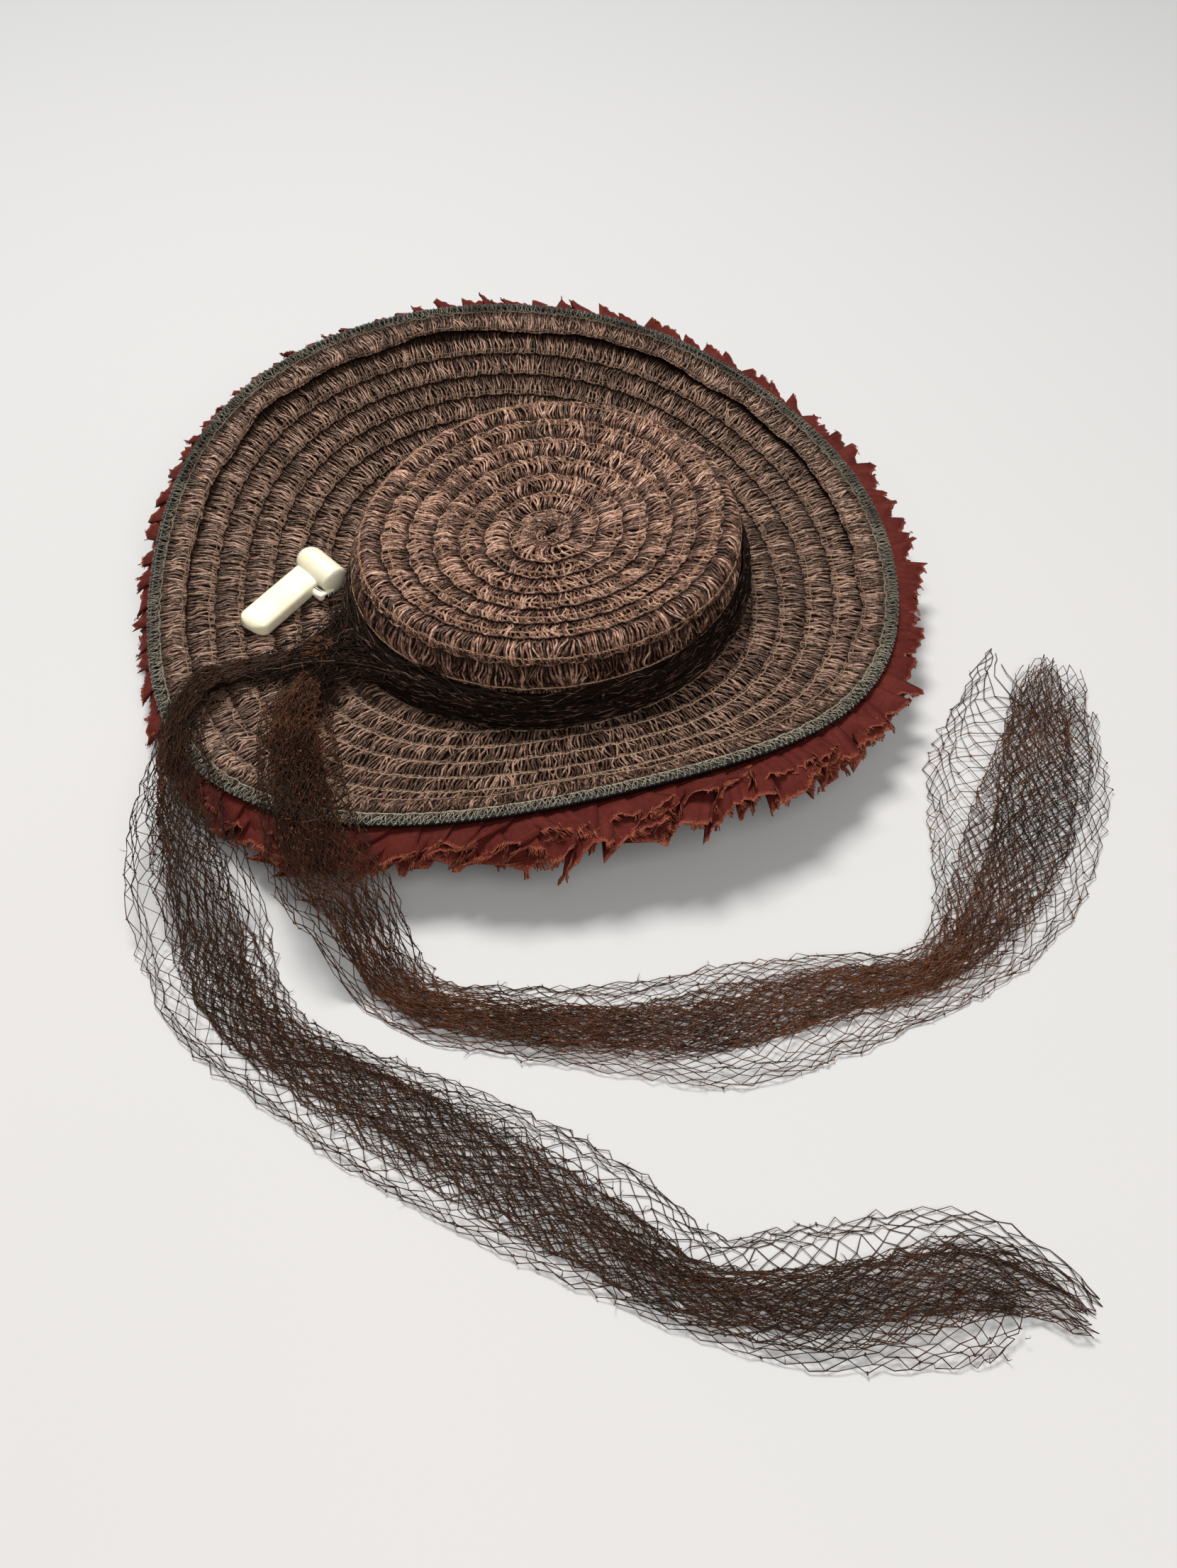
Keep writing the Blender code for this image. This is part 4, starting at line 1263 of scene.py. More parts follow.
@dataclass
class StrawBrim:
    """The brim: rows of braid whose inner edges lie over the row inside them, below the wide edge band."""

    cut: StrandCut = field(default_factory=lambda: StrandCut(
        pitch=1.0, stations=5, half_width=(0.42, 0.70), slant=0.9, slant_spread=1.0, scallop_depth=0.8,
        tuck=1.0, gather=2.4, sewn_at=0.80, pressed=0.35, curl=0.45, loose=0.7, lip_painted_highlight=1.1, bead=0.3,
        flare=0.1, shadow=0.6))
    around: int = 132
    thread_radius: float = 0.16
    stitch_pitch: float = 2.4
    loop_half: float = 0.2
    proud: float = 0.75
    narrow: float = 4.0
    shows_over: float = 1.5

    def shown(self, width: Array) -> Array:
        """How far a row shows: a smooth step of its width, 0 where it has run out."""
        return step_between(self.narrow, self.narrow + self.shows_over, width)

    def lift_of(self, share: Array) -> Array:
        """A row rises from under the row outside it to its own inner edge."""
        return (SHAPE.wall - 0.05 + (SHAPE.relief + 0.8) * step_between(0.08, 0.7, share)
                - 0.35 * step_between(0.92, 1.0, share))

    def shell(self) -> MeshParts:
        """The dark bed with its stepped rows above and below."""
        bearing = full_turn(self.around)
        lines = SHAPE.row_lines(bearing)
        rings = []
        for low, high in zip(lines[:-1], lines[1:]):
            for share in (0.05, 0.5, 0.97):
                rings.append(SHAPE.brim(bearing, low + (high - low) * share, SHAPE.wall - 0.1))
        outer = lines[-1] + SHAPE.band_tuck
        rings.append(SHAPE.brim(bearing, outer, SHAPE.wall - 0.1))
        rings.append(SHAPE.brim(bearing, outer, 0))
        for low, high in zip(lines[-2::-1], lines[:0:-1]):
            step = 0.55 * np.clip((high - low) / SHAPE.row_pitch, 0, 1)
            for share, drop in ((0.96, 0.0), (0.90, 1.0), (0.5, 0.6), (0.04, 0.0)):
                rings.append(SHAPE.brim(bearing, low + (high - low) * share, -step * drop + 0.3 * step))
        return wall(np.stack(rings), np.linspace(0, 160, len(rings)))

    def row(self, number: int) -> MeshParts:
        """The strands of one row, left out where the brim is too short for it."""
        fine = np.linspace(0, FULL_TURN, 1441)
        lines = SHAPE.row_lines(fine)
        inner, outer = lines[number], lines[number + 1]
        radius = SHAPE.brim_root(fine) + (inner + outer) / 2
        run = arc_run(fine, radius)
        wanted = np.arange(0, run[-1], self.cut.pitch)
        bearing = np.interp(wanted, run, fine)
        low, high, far = (np.interp(bearing, fine, line) for line in (inner, outer, radius))
        kept = high - low > self.narrow
        seed = 100 + 7 * number
        rows = braid_row(SHAPE.brim, bearing[kept], low[kept], high[kept], far[kept], wanted[kept], self.cut,
                         Side.RAISED_INSIDE, self.lift_of, seed)
        along = np.arange(0, run[-1], 1.5)
        turned = np.interp(along, run, fine)
        shown = np.interp(turned, fine, self.shown(outer - inner))
        lift = -0.3 + (SHAPE.wall + SHAPE.relief + self.proud) * shown
        edge = bound_edge(lambda bearing, reach, up: SHAPE.brim(bearing, reach, lift + up - 1), turned,
                          np.interp(turned, fine, inner), along, 1.0, self.cut, Side.RAISED_INSIDE, seed)
        return joined([rows, edge])

    def lip(self, number: int) -> list[MeshParts]:
        """The loops of thread along a row's raised inner edge."""
        fine = np.linspace(0, FULL_TURN, 721)
        line = SHAPE.row_lines(fine)[number]
        width = SHAPE.row_lines(fine)[number + 1] - line
        radius = SHAPE.brim_root(fine) + line

        def at(share: Array, offset: Array, lift: Array) -> Array:
            """A point beside the lip, sunk out of sight where the row has run out."""
            bearing = share * FULL_TURN
            shown = np.interp(bearing, fine, self.shown(width))
            reach = np.interp(bearing, fine, line) + 1.7 + offset + 0.4 * ripple(number, share * 900, 0.6)
            return SHAPE.brim(bearing, reach, SHAPE.wall + (lift - SHAPE.wall) * shown - 1.2 * (1 - shown))

        return chain_stitch(at, float(radius.mean() * FULL_TURN), self.stitch_pitch, self.loop_half,
                            self.thread_radius, SHAPE.wall + SHAPE.relief + self.proud, paler=0.6)

    def build(self) -> None:
        """Adds the brim's pieces."""
        rows = [self.row(number) for number in range(SHAPE.brim_rows)]
        lips = sum((self.lip(number) for number in range(1, SHAPE.brim_rows)), [])
        add_piece("brim_bed", self.shell(), BRIM_BED.material(), ("brim",))
        add_piece("brim_strands", joined(rows), BRIM_STRAW.material())
        add_piece("brim_lip_threads", joined(lips), LIP_THREAD.material())


@dataclass
class EdgeBand:
    """The wide last row, folded over the edge, with its raised wavy inner edge and sewn outer edge."""

    cut: StrandCut = field(default_factory=lambda: StrandCut(
        pitch=0.78, slant=1.2, slant_spread=1.2, scallop=14.0, scallop_depth=0.6, tuck=0.0, curl=0.7,
        gather=2.4, sewn_at=0.9, pressed=0.2, loose=0.7, lip_painted_highlight=0.35, bead=0.34, flare=0.1))
    around: int = 240
    seed: int = 211
    stitch_seed: int = 31
    thread_radius: float = 0.19
    chain_pitch: float = 2.4
    chain_radius: float = 0.16
    wire_radius: float = 1.2
    wire_lift: float = 1.6
    stitch_pitch: float = 4.6
    sewn: float = 4.3
    inside_at: tuple[float, ...] = (14.0, 11.0, 7.0, 3.8, 2.75, 1.6)
    lift_at: tuple[float, ...] = (5.0, 4.85, 3.7, 3.1, 2.3, 1.4)

    def wave(self, bearing: Array) -> Array:
        """How the inner edge rises and falls round the hat."""
        return 0.5 * np.sin(11 * bearing) + 0.3 * np.sin(17 * bearing + 1)

    def surface(self, bearing: Array, inside: Array, lift: Array) -> Array:
        """A point of the band's upper face, at a distance inside the brim's edge."""
        bearing, inside, lift = np.broadcast_arrays(bearing, inside, lift)
        order = np.argsort(self.inside_at)
        base = np.interp(inside, np.array(self.inside_at)[order], np.array(self.lift_at)[order])
        share = step_between(7.0, 14.0, inside)
        sway = 0.9 * ripple(3, bearing, 16.0) * share
        edge = SHAPE.around("brim_reach", bearing)
        return SHAPE.brim(bearing, edge - inside + sway, base + lift + self.wave(bearing) * share)

    def shell(self) -> MeshParts:
        """The band's closed wall, from the inner lip over the edge and back beneath."""
        bearing = full_turn(self.around)
        under = SHAPE.wall + SHAPE.relief + SHAPE.gap
        tucked = SHAPE.band_width - SHAPE.band_tuck - SHAPE.gap
        edge = SHAPE.around("brim_reach", bearing)
        rings = [self.surface(bearing, inside, drop) for inside, drop in (
            (14.0, -1.1), (14.2, -0.6), (13.9, -0.25), (12.0, -0.2), (10.0, -0.2), (8.0, -0.2), (6.0, -0.2),
            (4.0, -0.2), (2.9, -0.2))]
        rings += [SHAPE.brim(bearing, edge - inside, lift) for inside, lift in (
            (2.75, 1.4), (3.3, 0.5), (5.0, 0.0), (7.4, 0.0), (tucked, 0.0), (tucked, under - 0.7))]
        return wall(np.stack(rings), np.linspace(0, 40, len(rings)))

    def strand_mesh(self) -> MeshParts:
        """The strands across the band, from the sewn edge up to the lip."""
        fine = np.linspace(0, FULL_TURN, 1441)
        radius = SHAPE.brim_root(fine) + SHAPE.around("brim_reach", fine) - SHAPE.band_width / 2
        run = arc_run(fine, radius)
        wanted = np.arange(0, run[-1], self.cut.pitch)
        bearing = np.interp(wanted, run, fine)
        far = np.interp(bearing, fine, radius)
        low = np.full_like(bearing, 2.6)
        high = np.full_like(bearing, SHAPE.band_width + 0.2)
        rows = braid_row(self.surface, bearing, low, high, far, wanted, self.cut, Side.RAISED_OUTSIDE,
                         lambda share: 0.12 + 0 * share, self.seed)
        along = np.arange(0, run[-1], 1.3)
        turned = np.interp(along, run, fine)
        edge = bound_edge(self.surface, turned, np.full_like(turned, high[0]), along, 0.15, self.cut,
                          Side.RAISED_OUTSIDE, self.seed)
        return joined([rows, edge])

    def cord(self) -> MeshParts:
        """The satin bound wire along the very edge."""
        bearing = full_turn(480)
        edge = SHAPE.around("brim_reach", bearing)
        path, normal = raised(SHAPE.brim, bearing, edge - self.wire_radius, self.wire_lift)
        return strands(path[None], normal[None], self.wire_radius, self.wire_radius, sides=8, looped=True,
                       tint=np.array([0.5]))

    def over_edge(self, bearing: Array, inside: Array, lift: Array) -> Array:
        """A point on the band and round the cord: past the cord's top it goes down its outer side."""
        edge = SHAPE.around("brim_reach", bearing)
        across = 2 * self.wire_radius
        turn = np.clip((across - inside) / across, 0, 1) * math.radians(178) + math.radians(20)
        out = self.wire_radius + 0.15 + lift
        round_cord = SHAPE.brim(bearing, edge - self.wire_radius - out * np.cos(turn),
                                self.wire_lift + out * np.sin(turn))
        flat = self.surface(bearing, np.maximum(inside, across), 0.35 + lift)
        share = step_between(1.9, 3.0, inside)[..., None]
        return round_cord * (1 - share) + flat * share

    def stitches(self) -> MeshParts:
        """Two zigzag threads that cross over the cord, and the chain that holds them on the band."""
        bearing = np.linspace(0, FULL_TURN, 721)
        radius = SHAPE.brim_root(bearing) + SHAPE.around("brim_reach", bearing)
        length = float(arc_run(bearing, radius)[-1])
        count = round(length / self.stitch_pitch)
        per_stitch = 6
        parts = []
        draw = np.random.default_rng(self.stitch_seed)
        for hand, share_of in ((0.0, 1.0), (0.5, 1.0), (0.25, 1.6)):
            stitches = round(count * share_of)
            total = stitches * per_stitch
            turn = np.arange(total) / per_stitch + hand
            zigzag = 0.5 - 0.5 * np.cos(FULL_TURN * turn)
            uneven = np.repeat(draw.uniform(0.7, 1.12, stitches), per_stitch)
            aside = 0.0025 * np.repeat(draw.normal(0, 1, stitches), per_stitch)
            around = np.arange(total) / total * FULL_TURN + aside
            inside = 0.15 + self.sewn * uneven * zigzag
            lift = 0.1 + 0.2 * (0.5 + 0.5 * np.sin(FULL_TURN * turn * 0.5))
            path = self.over_edge(around, inside, lift)
            normal = unit(self.over_edge(around, inside, lift + 1) - path + 1e-6)
            # Painted light: the zigzag threads are paler on the near side.
            tint = 0.05 + (0.4 + 0.6 * hand) * near_side(around)
            parts.append(strands(path[None], normal[None], self.thread_radius, self.thread_radius,
                                 looped=True, tint=tint[None]))

        def at(share: Array, offset: Array, lift: Array) -> Array:
            """A point beside the chain, on the band."""
            inside = self.sewn + 0.2 + offset + 0.3 * ripple(8, share * 900, 0.7)
            return self.surface(share * FULL_TURN, inside, lift)

        parts += chain_stitch(at, length, self.chain_pitch, 0.25, self.chain_radius, 0.5, paler=0.5)
        return joined(parts)

    def lip_thread(self) -> MeshParts:
        """The loops of thread along the band's raised lip."""
        bearing = np.linspace(0, FULL_TURN, 361)
        radius = SHAPE.brim_root(bearing) + SHAPE.around("brim_reach", bearing) - self.inside_at[0]

        def at(share: Array, offset: Array, lift: Array) -> Array:
            """A point beside the lip."""
            inside = 13.2 + offset + 0.35 * ripple(9, share * 900, 0.6)
            return self.surface(share * FULL_TURN, inside, lift)

        length = float(radius.mean() * FULL_TURN)
        return joined(chain_stitch(at, length, self.chain_pitch, 0.2, self.chain_radius, 0.6))

    def build(self) -> None:
        """Adds the band's, the cord's and the stitches' pieces."""
        add_piece("edge_band_bed", self.shell(), BRIM_BED.material(), ("brim_edge_band",))
        add_piece("edge_band_strands", self.strand_mesh(), BRIM_STRAW.material())
        add_piece("edge_band_lip", self.lip_thread(), LIP_THREAD.material())
        add_piece("edge_cord", self.cord(), SATIN.material(), ("edge_wire",))
        add_piece("edge_stitching", self.stitches(), EDGE_THREAD.material())


@dataclass
class RibbonRuffle:
    """The rust ribbon, laid in knife pleats under the brim's edge, with its cut edge frayed."""

    pleats: int = 94
    per_pleat: int = 15
    across: int = 7
    thickness: float = 0.3
    pleat_length: float = 20.6
    back: float = 0.56
    lower_drop: float = 2.4
    widths: tuple[float, float] = (0.0225, 0.0245)
    tuft_share: float = 0.44
    tuft_threads: int = 6

    def fold(self, run: Array) -> tuple[Array, Array, Array, Array]:
        """Where a length along the ribbon lies once it is pleated.

        Args:
            run: The length, counted in pleats.

        Returns:
            The place round the hat in pleats, the depth of the fold (0 is the top face), and the shares of
            the top face and of the face beneath it that have been passed.
        """
        number = np.floor(run)
        share = run - number
        ahead = 0.62
        going = np.clip(share / ahead, 0, 1)
        coming = np.clip((share - ahead) / (1 - ahead), 0, 1)
        place = number + (1 + self.back) * going - self.back * coming
        depth = 0.75 * (1 - going) ** 1.5
        depth = np.where(share <= ahead, depth, 0.15 + 0.85 * np.sin(coming * math.pi / 2) ** 1.2)
        return place, depth, going, coming

    def layer(self, seed: int, phase: float, drop: float,
              longer: tuple[float, float]) -> tuple[MeshParts, MeshParts]:
        """One layer of the ribbon and the frays on its edge.

        Args:
            seed: Fixes the uneven edge.
            phase: How far its pleats are shifted, in pleats.
            drop: How far it lies below the upper layer.
            longer: How far it reaches as a share of the solid's edge, on the far side and on the near side.

        Returns:
            The ribbon's mesh and the frays' mesh.
        """
        columns = self.pleats * self.per_pleat
        run = np.arange(columns) / self.per_pleat
        place, depth, going, coming = self.fold(run)
        bearing = (place + phase) / self.pleats * FULL_TURN
        uneven = 1 + 0.10 * np.sin(5 * bearing) + 0.08 * np.sin(13 * bearing + 2)
        near = near_side(bearing, 0.72, 0.97)
        reach = SHAPE.around("frill_reach", bearing) * uneven
        number = np.floor(run).astype(int) % self.pleats
        draw = np.random.default_rng(seed)
        tab = 1.0 + np.clip(draw.normal(0, 1, self.pleats), -1.8, 1.2)[number] * (0.13 + 0.03 * near)
        spread = draw.normal(0, 1, self.pleats)[number] * (0.25 + 0.3 * near)
        tooth = np.clip((going - 0.26) / 0.6, 0, 1) * (1 - 0.95 * step_between(0.0, 0.5, coming))
        shape = 0.48 + 0.53 * tooth
        shape = shape + (1.0 - shape) * 0.75 * near
        millimetres = run * self.pleat_length
        notch = 0.4 * ripple(seed + 1, millimetres, 1.9) + 0.6 * ripple(seed + 2, millimetres, 0.5)
        pinked = (0.4 + 0.6 * draw.random(columns)) * np.where(np.arange(columns) % 2, 0.6, -0.6)
        length = longer[0] + (longer[1] - longer[0]) * near
        end = np.clip(reach * length * tab * shape + notch + pinked, 0.3, reach * 1.3 + 2.0)
        share = np.linspace(0, 1, self.across)[:, None]
        past = -SHAPE.frill_root + share * (end + SHAPE.frill_root)[None, :]
        outside = np.clip(past / np.maximum(end, 1), 0, 1)
        opening = (0.7 + 2.2 * share ** 1.5 + 2.2 * outside) * (1 + 0.7 * near)
        flutter = 1.5 * outside * ripple(seed + 3, bearing, 60.0)[None, :]
        lift = -SHAPE.gap - 0.25 - drop * (0.3 + 0.7 * share) - opening * depth[None, :] + flutter
        curled = ((0.8 + 0.7 * near) * draw.normal(0, 1, self.pleats)[number] - 0.8)[None, :] * outside ** 2
        fanned = bearing[None, :] + spread[None, :] * outside / self.pleats * FULL_TURN
        upper = SHAPE.frill(fanned, past, lift + curled)
        lower = SHAPE.frill(fanned, past, lift + curled - self.thickness)
        floor = self.thickness + 0.5
        upper[..., 2] = np.maximum(upper[..., 2], floor)
        lower[..., 2] = np.maximum(lower[..., 2], floor - self.thickness)
        v = np.concatenate([share[:, 0], share[::-1, 0]])
        ribbon = wall(np.concatenate([upper, lower[::-1]]), v)
        ribbon.quad_uv[..., 0] *= millimetres[-1] / max(float(ribbon.quad_uv[..., 0].max()), 1)
        return ribbon, self.frays(upper[-1], upper[-1] - upper[-2], near, seed + 4)

    def frays(self, edge: Array, out: Array, longer: Array, seed: int) -> MeshParts:
        """Short tapering tufts of thread that stand out of the cut edge.

        Args:
            edge: Points along the edge.
            out: The way out of the ribbon at each point.
            longer: Where the frays are at their longest, from 0 to 1.
            seed: Fixes the draws.

        Returns:
            The tufts' mesh.
        """
        draw = np.random.default_rng(seed)
        each = self.tuft_threads
        tufts = int(len(edge) * self.tuft_share)
        count = tufts * each
        base = np.repeat(draw.integers(1, len(edge) - 2, tufts), each)
        near = np.linalg.norm(edge[base + 1] - edge[base], axis=1) < 4.0
        outward = unit(out[base])
        along = unit(edge[base + 1] - edge[base] + 1e-6)
        aside = draw.normal(0, 0.65, (count, 1))
        length = np.repeat(draw.uniform(1.1, 3.4, tufts), each)[:, None] * draw.uniform(0.6, 1.1, (count, 1))
        length = length * (0.45 + 0.55 * longer[base])[:, None]
        lean = np.repeat(draw.normal(0, 0.3, (tufts, 1)), each, axis=0) + 0.25 * aside
        lean = lean + draw.normal(0, 0.1, (count, 1))
        start = edge[base] + along * aside - outward * 0.3
        way = unit(outward + lean * along + draw.normal(-0.1, 0.2, (count, 1)) * np.array([0, 0, 1.0]))
        steps = np.linspace(-0.3, 1, 2)[None, :, None]
        path = start[:, None, :] + way[:, None, :] * length[:, None, :] * steps
        path = path + np.array([0, 0, -0.35]) * np.clip(steps, 0, 1) ** 2
        path[..., 2] = np.maximum(path[..., 2], 0.4)
        normal = upward(path)
        taper = np.array([1.0, 0.75])[None, :]
        wide = draw.uniform(0.22, 0.46, count)[:, None] * taper
        made = strands(path[near], normal[near], wide[near], 0.12, tint=draw.random(int(near.sum())))
        made.quad_uv[..., 1] = 1.0
        made.triangle_uv[..., 1] = 1.0
        return made

    def build(self) -> None:
        """Adds the two layers and their frays."""
        upper, upper_frays = self.layer(60, 0.0, 0.0, (0.98, 0.56))
        lower, lower_frays = self.layer(80, 0.46, self.lower_drop, (0.46, 0.84))
        finish = RIBBON.material()
        top = add_piece("ribbon_upper_layer", upper, finish, ("ribbon_ruffle",))
        low = add_piece("ribbon_lower_layer", lower, finish, ("ribbon_ruffle",))
        frays = add_piece("ribbon_frays", joined([upper_frays, lower_frays]), finish)


@dataclass
class NetYarn:
    """The yarn of a net, in millimetres."""

    radius: float = 0.165
    knot: float = 0.36
    fuzz_radius: float = 0.13

    def courses(self, half_columns: int, rows: int) -> Array:
        """The half columns that each yarn passes through, row by row.

        A yarn steps half a column aside at every row and turns back at the selvedges, as a triangle wave.

        Args:
            half_columns: Twice the number of crossings across the net.
            rows: Rows of crossings.

        Returns:
            Half columns, shaped (yarns, rows).
        """
        period = 2 * (half_columns - 1)
        start = np.arange(0, period, 2)[:, None]
        place = (start + np.arange(rows)[None, :]) % period
        return np.where(place < half_columns, place, period - place)

    def net(self, at: Crossings, half_columns: int, rows: int,
            seed: int, ragged: Sequence[int] = (0,),
            shadow: Callable[[Array, Array], Array] | None = None) -> MeshParts:
        """All the yarns of a net, each one long tube through its crossings.

        Args:
            at: Gives the place and the upward way of the crossings, for their rows and half columns.
            half_columns: Twice the number of crossings across the net.
            rows: Rows of crossings.
            seed: Fixes which yarns are paler, and the cut ends.
            ragged: How many rows short of the end the yarns may be cut. Neighbours are cut alike, so that
                most ends close in loops.
            shadow: Gives how much darker the net is at its crossings, for their rows and half columns.

        Returns:
            The net's mesh.
        """
        draw = np.random.default_rng(seed)
        halves = self.courses(half_columns, rows)
        row = np.broadcast_to(np.arange(rows)[None, :], halves.shape)
        points, normals = at(row, halves)
        # High tints turn to painted glints in the yarn's finish, and the shadow's painted shade takes them
        # below 0.
        tint = draw.uniform(0, 1, halves.shape) ** 3
        if shadow is not None:
            tint = tint - shadow(row, halves)
        cuts = np.array(ragged)
        level = (0.5 + 0.6 * ripple(seed, halves[:, -1] / 7.0, 1.0)) * len(cuts)
        short = cuts[np.clip(level.astype(int), 0, len(cuts) - 1)]
        size = self.radius * draw.uniform(0.75, 1.3, halves.shape)
        parts = []
        for cut in sorted(set(ragged)):
            chosen = short == cut
            if chosen.any():
                place, up, radius, tone = (
                    values[chosen][:, :rows - cut] for values in (points, normals, size, tint))
                parts.append(strands(place, up, radius, radius, tint=tone))
        return joined(parts)

    def knots(self, at: Crossings, half_columns: int, rows: int,
              share: float, seed: int) -> MeshParts:
        """Small knots on a share of the crossings, each a short thick bead of yarn."""
        draw = np.random.default_rng(seed)
        row, half = np.meshgrid(np.arange(rows), np.arange(half_columns), indexing="ij")
        chosen = ((row + half) % 2 == 0) & (draw.random(row.shape) < share)
        points, normals = at(row[chosen], half[chosen])
        way = unit(draw.normal(0, 1, points.shape) * np.array([1.0, 1.0, 0.3]))
        reach = self.knot * draw.uniform(0.9, 1.6, (len(points), 1))
        path = np.stack([points - way * reach, points + way * reach], axis=1)
        radius = np.full((len(points), 2), self.knot) * draw.uniform(0.7, 1.1, (len(points), 1))
        return strands(path, np.repeat(normals[:, None, :], 2, axis=1), radius, radius,
                       tint=draw.random(len(points)) ** 3)

    def fuzz(self, at: Crossings, half_columns: int, rows: int,
             count: int, reach: float, seed: int, crowded: float = 1.0) -> MeshParts:
        """Short loose ends of yarn at some crossings, more near the first row if crowded is over 1."""
        draw = np.random.default_rng(seed)
        row = (rows * draw.random(count) ** crowded).astype(int)
        half = draw.integers(0, half_columns // 2, count) * 2 + row % 2
        start, up = at(row, np.minimum(half, half_columns - 1))
        way = unit(draw.normal(0, 1, (count, 3)) * np.array([1, 1, 0.4]) + 0.3 * up)
        length = draw.uniform(0.4, 1.0, count)[:, None] * reach
        bent = start + way * length * 0.6
        tip = bent + unit(way + draw.normal(0, 0.5, (count, 3))) * length * 0.4
        path = np.stack([start, bent, tip], axis=1)
        path[..., 2] = np.maximum(path[..., 2], 0.2)
        radius = np.array([1.0, 0.8, 0.35])[None, :] * self.fuzz_radius
        return strands(path, np.repeat(up[:, None, :], 3, axis=1), radius, radius, tint=draw.random(count))


@dataclass
class VeilTail:
    """One end of the veil: a wide net drawn together into a long loose strip."""

    name: str
    sections: Sequence[TailSection]
    finish: ThreadFinish
    seed: int
    flat_width: float = 200.0
    columns: int = 60
    row_step: float = 3.2
    depth: float = 4.2
    clear: float = 0.6
    feel: tuple[float, ...] = (-6.0, -3.0, 0.0, 3.0, 6.0)
    fall: float = 1.15
    sag: float = 0.22
    stations: int = 190
    lanes: int = 11
    dense_share: float = 0.17
    # Painted shade near the strip's end.
    end_painted_shade: float = 0.0
    folded: float = 0.86
    knot_share: float = 0.24
    loose_ends: int = 1500
    loose_reach: float = 3.2
    crowded: float = 1.7
    yarn: NetYarn = field(default_factory=NetYarn)

    def __post_init__(self) -> None:
        """Works out where the strip lies, and the small unevenness of its crossings."""
        dense = smooth_rows(np.array(self.sections), 600)
        step = np.concatenate([[0], np.cumsum(np.linalg.norm(np.diff(dense[:, :2], axis=0), axis=1))])
        self.length = float(step[-1])
        wanted = np.linspace(0, self.length, self.stations)
        self.path = np.stack([np.interp(wanted, step, dense[:, axis]) for axis in range(3)], axis=1)
        ahead = unit(np.gradient(self.path[:, :2], axis=0))
        self.side = np.stack([ahead[:, 1], -ahead[:, 0]], axis=1)
        self.base = self._resting_heights(ahead, wanted[1])
        self.rows = int(self.length / self.row_step)
        draw = np.random.default_rng(self.seed + 5)
        self.uneven = draw.normal(0, 1, (self.rows, 2 * self.columns, 3)) * np.array([0.62, 0.62, 0.3])

    def _resting_heights(self, ahead: Array, along: float) -> Array:
        """What the strip rests on, raised where it bridges from one support to the next.

        Args:
            ahead: The way along the strip at each station.
            along: The distance between stations.

        Returns:
            Heights, shaped (stations, lanes).
        """
        across = np.linspace(-0.5, 0.5, self.lanes)[None, :] * self.path[:, 2:]
        plan = self.path[:, None, :2] + self.side[:, None, :] * across[:, :, None]
        felt = [plan + ahead[:, None, :] * feel for feel in self.feel]
        base = np.max([SHAPE.ground(place[..., 0], place[..., 1]) for place in felt], axis=0)
        base = np.where(base > 0, base + self.clear, 0.0)
        beside = self.path[:, 2] / (self.lanes - 1)
        for _ in range(2):
            for row in range(1, self.stations):
                base[row] = np.maximum(base[row], base[row - 1] - self.fall * along)
            for row in range(self.stations - 2, -1, -1):
                base[row] = np.maximum(base[row], base[row + 1] - self.fall * along)
            for lane in range(1, self.lanes):
                base[:, lane] = np.maximum(base[:, lane], base[:, lane - 1] - self.sag * beside)
            for lane in range(self.lanes - 2, -1, -1):
                base[:, lane] = np.maximum(base[:, lane], base[:, lane + 1] - self.sag * beside)
        return base

    def fold(self, share: Array, run: Array) -> Array:
        """The place across the strip of a place across the flat net, both from -1 to 1.

        The middle is folded to and fro in a zigzag, two over pi times the arcsine of a sine, so that its
        cells keep their size. The two sides run on evenly from the last fold to the strip's borders.
        """
        millimetres = run * self.length
        wander = 0.8 * ripple(self.seed, millimetres, 0.006, 3)
        wander = wander + 0.5 * ripple(self.seed + 1, millimetres, 0.02, 3)
        inner = 0.68 + 0.10 * ripple(self.seed + 3, millimetres, 0.012, 3)
        drift = 0.10 * ripple(self.seed + 4, millimetres, 0.02)
        zigzag = np.arcsin(0.985 * np.sin(2.5 * math.pi * share / self.folded + wander)) * 2 / math.pi
        zigzag = zigzag * (0.85 + 0.25 * ripple(self.seed + 12, share * 6 + millimetres / 40, 1.0, 3))
        outer = inner + (1 - inner) * (np.abs(share) - self.folded) / (1 - self.folded)
        side = step_between(self.folded - 0.05, self.folded + 0.03, np.abs(share))
        return np.clip((inner * zigzag + drift) * (1 - side) + np.sign(share) * outer * side, -1.1, 1.1)

    def shadow(self, row: Array, half: Array) -> Array:
        """How much painted shade darkens the yarn: where the strip lies on the hat, at its borders and near
        its end.
        """
        run = row / (self.rows - 1)
        on_hat = 1 - step_between(self.dense_share, 1.9 * self.dense_share, run)
        at_border = step_between(0.8, 0.95, np.abs(self.across(half)))
        return 0.6 * on_hat + 0.25 * at_border + self.end_painted_shade * step_between(0.66, 0.8, run)

    def across(self, half: Array) -> Array:
        """The place across the flat net of half columns, from -1 to 1."""
        return 2 * half / (2 * self.columns - 1) - 1

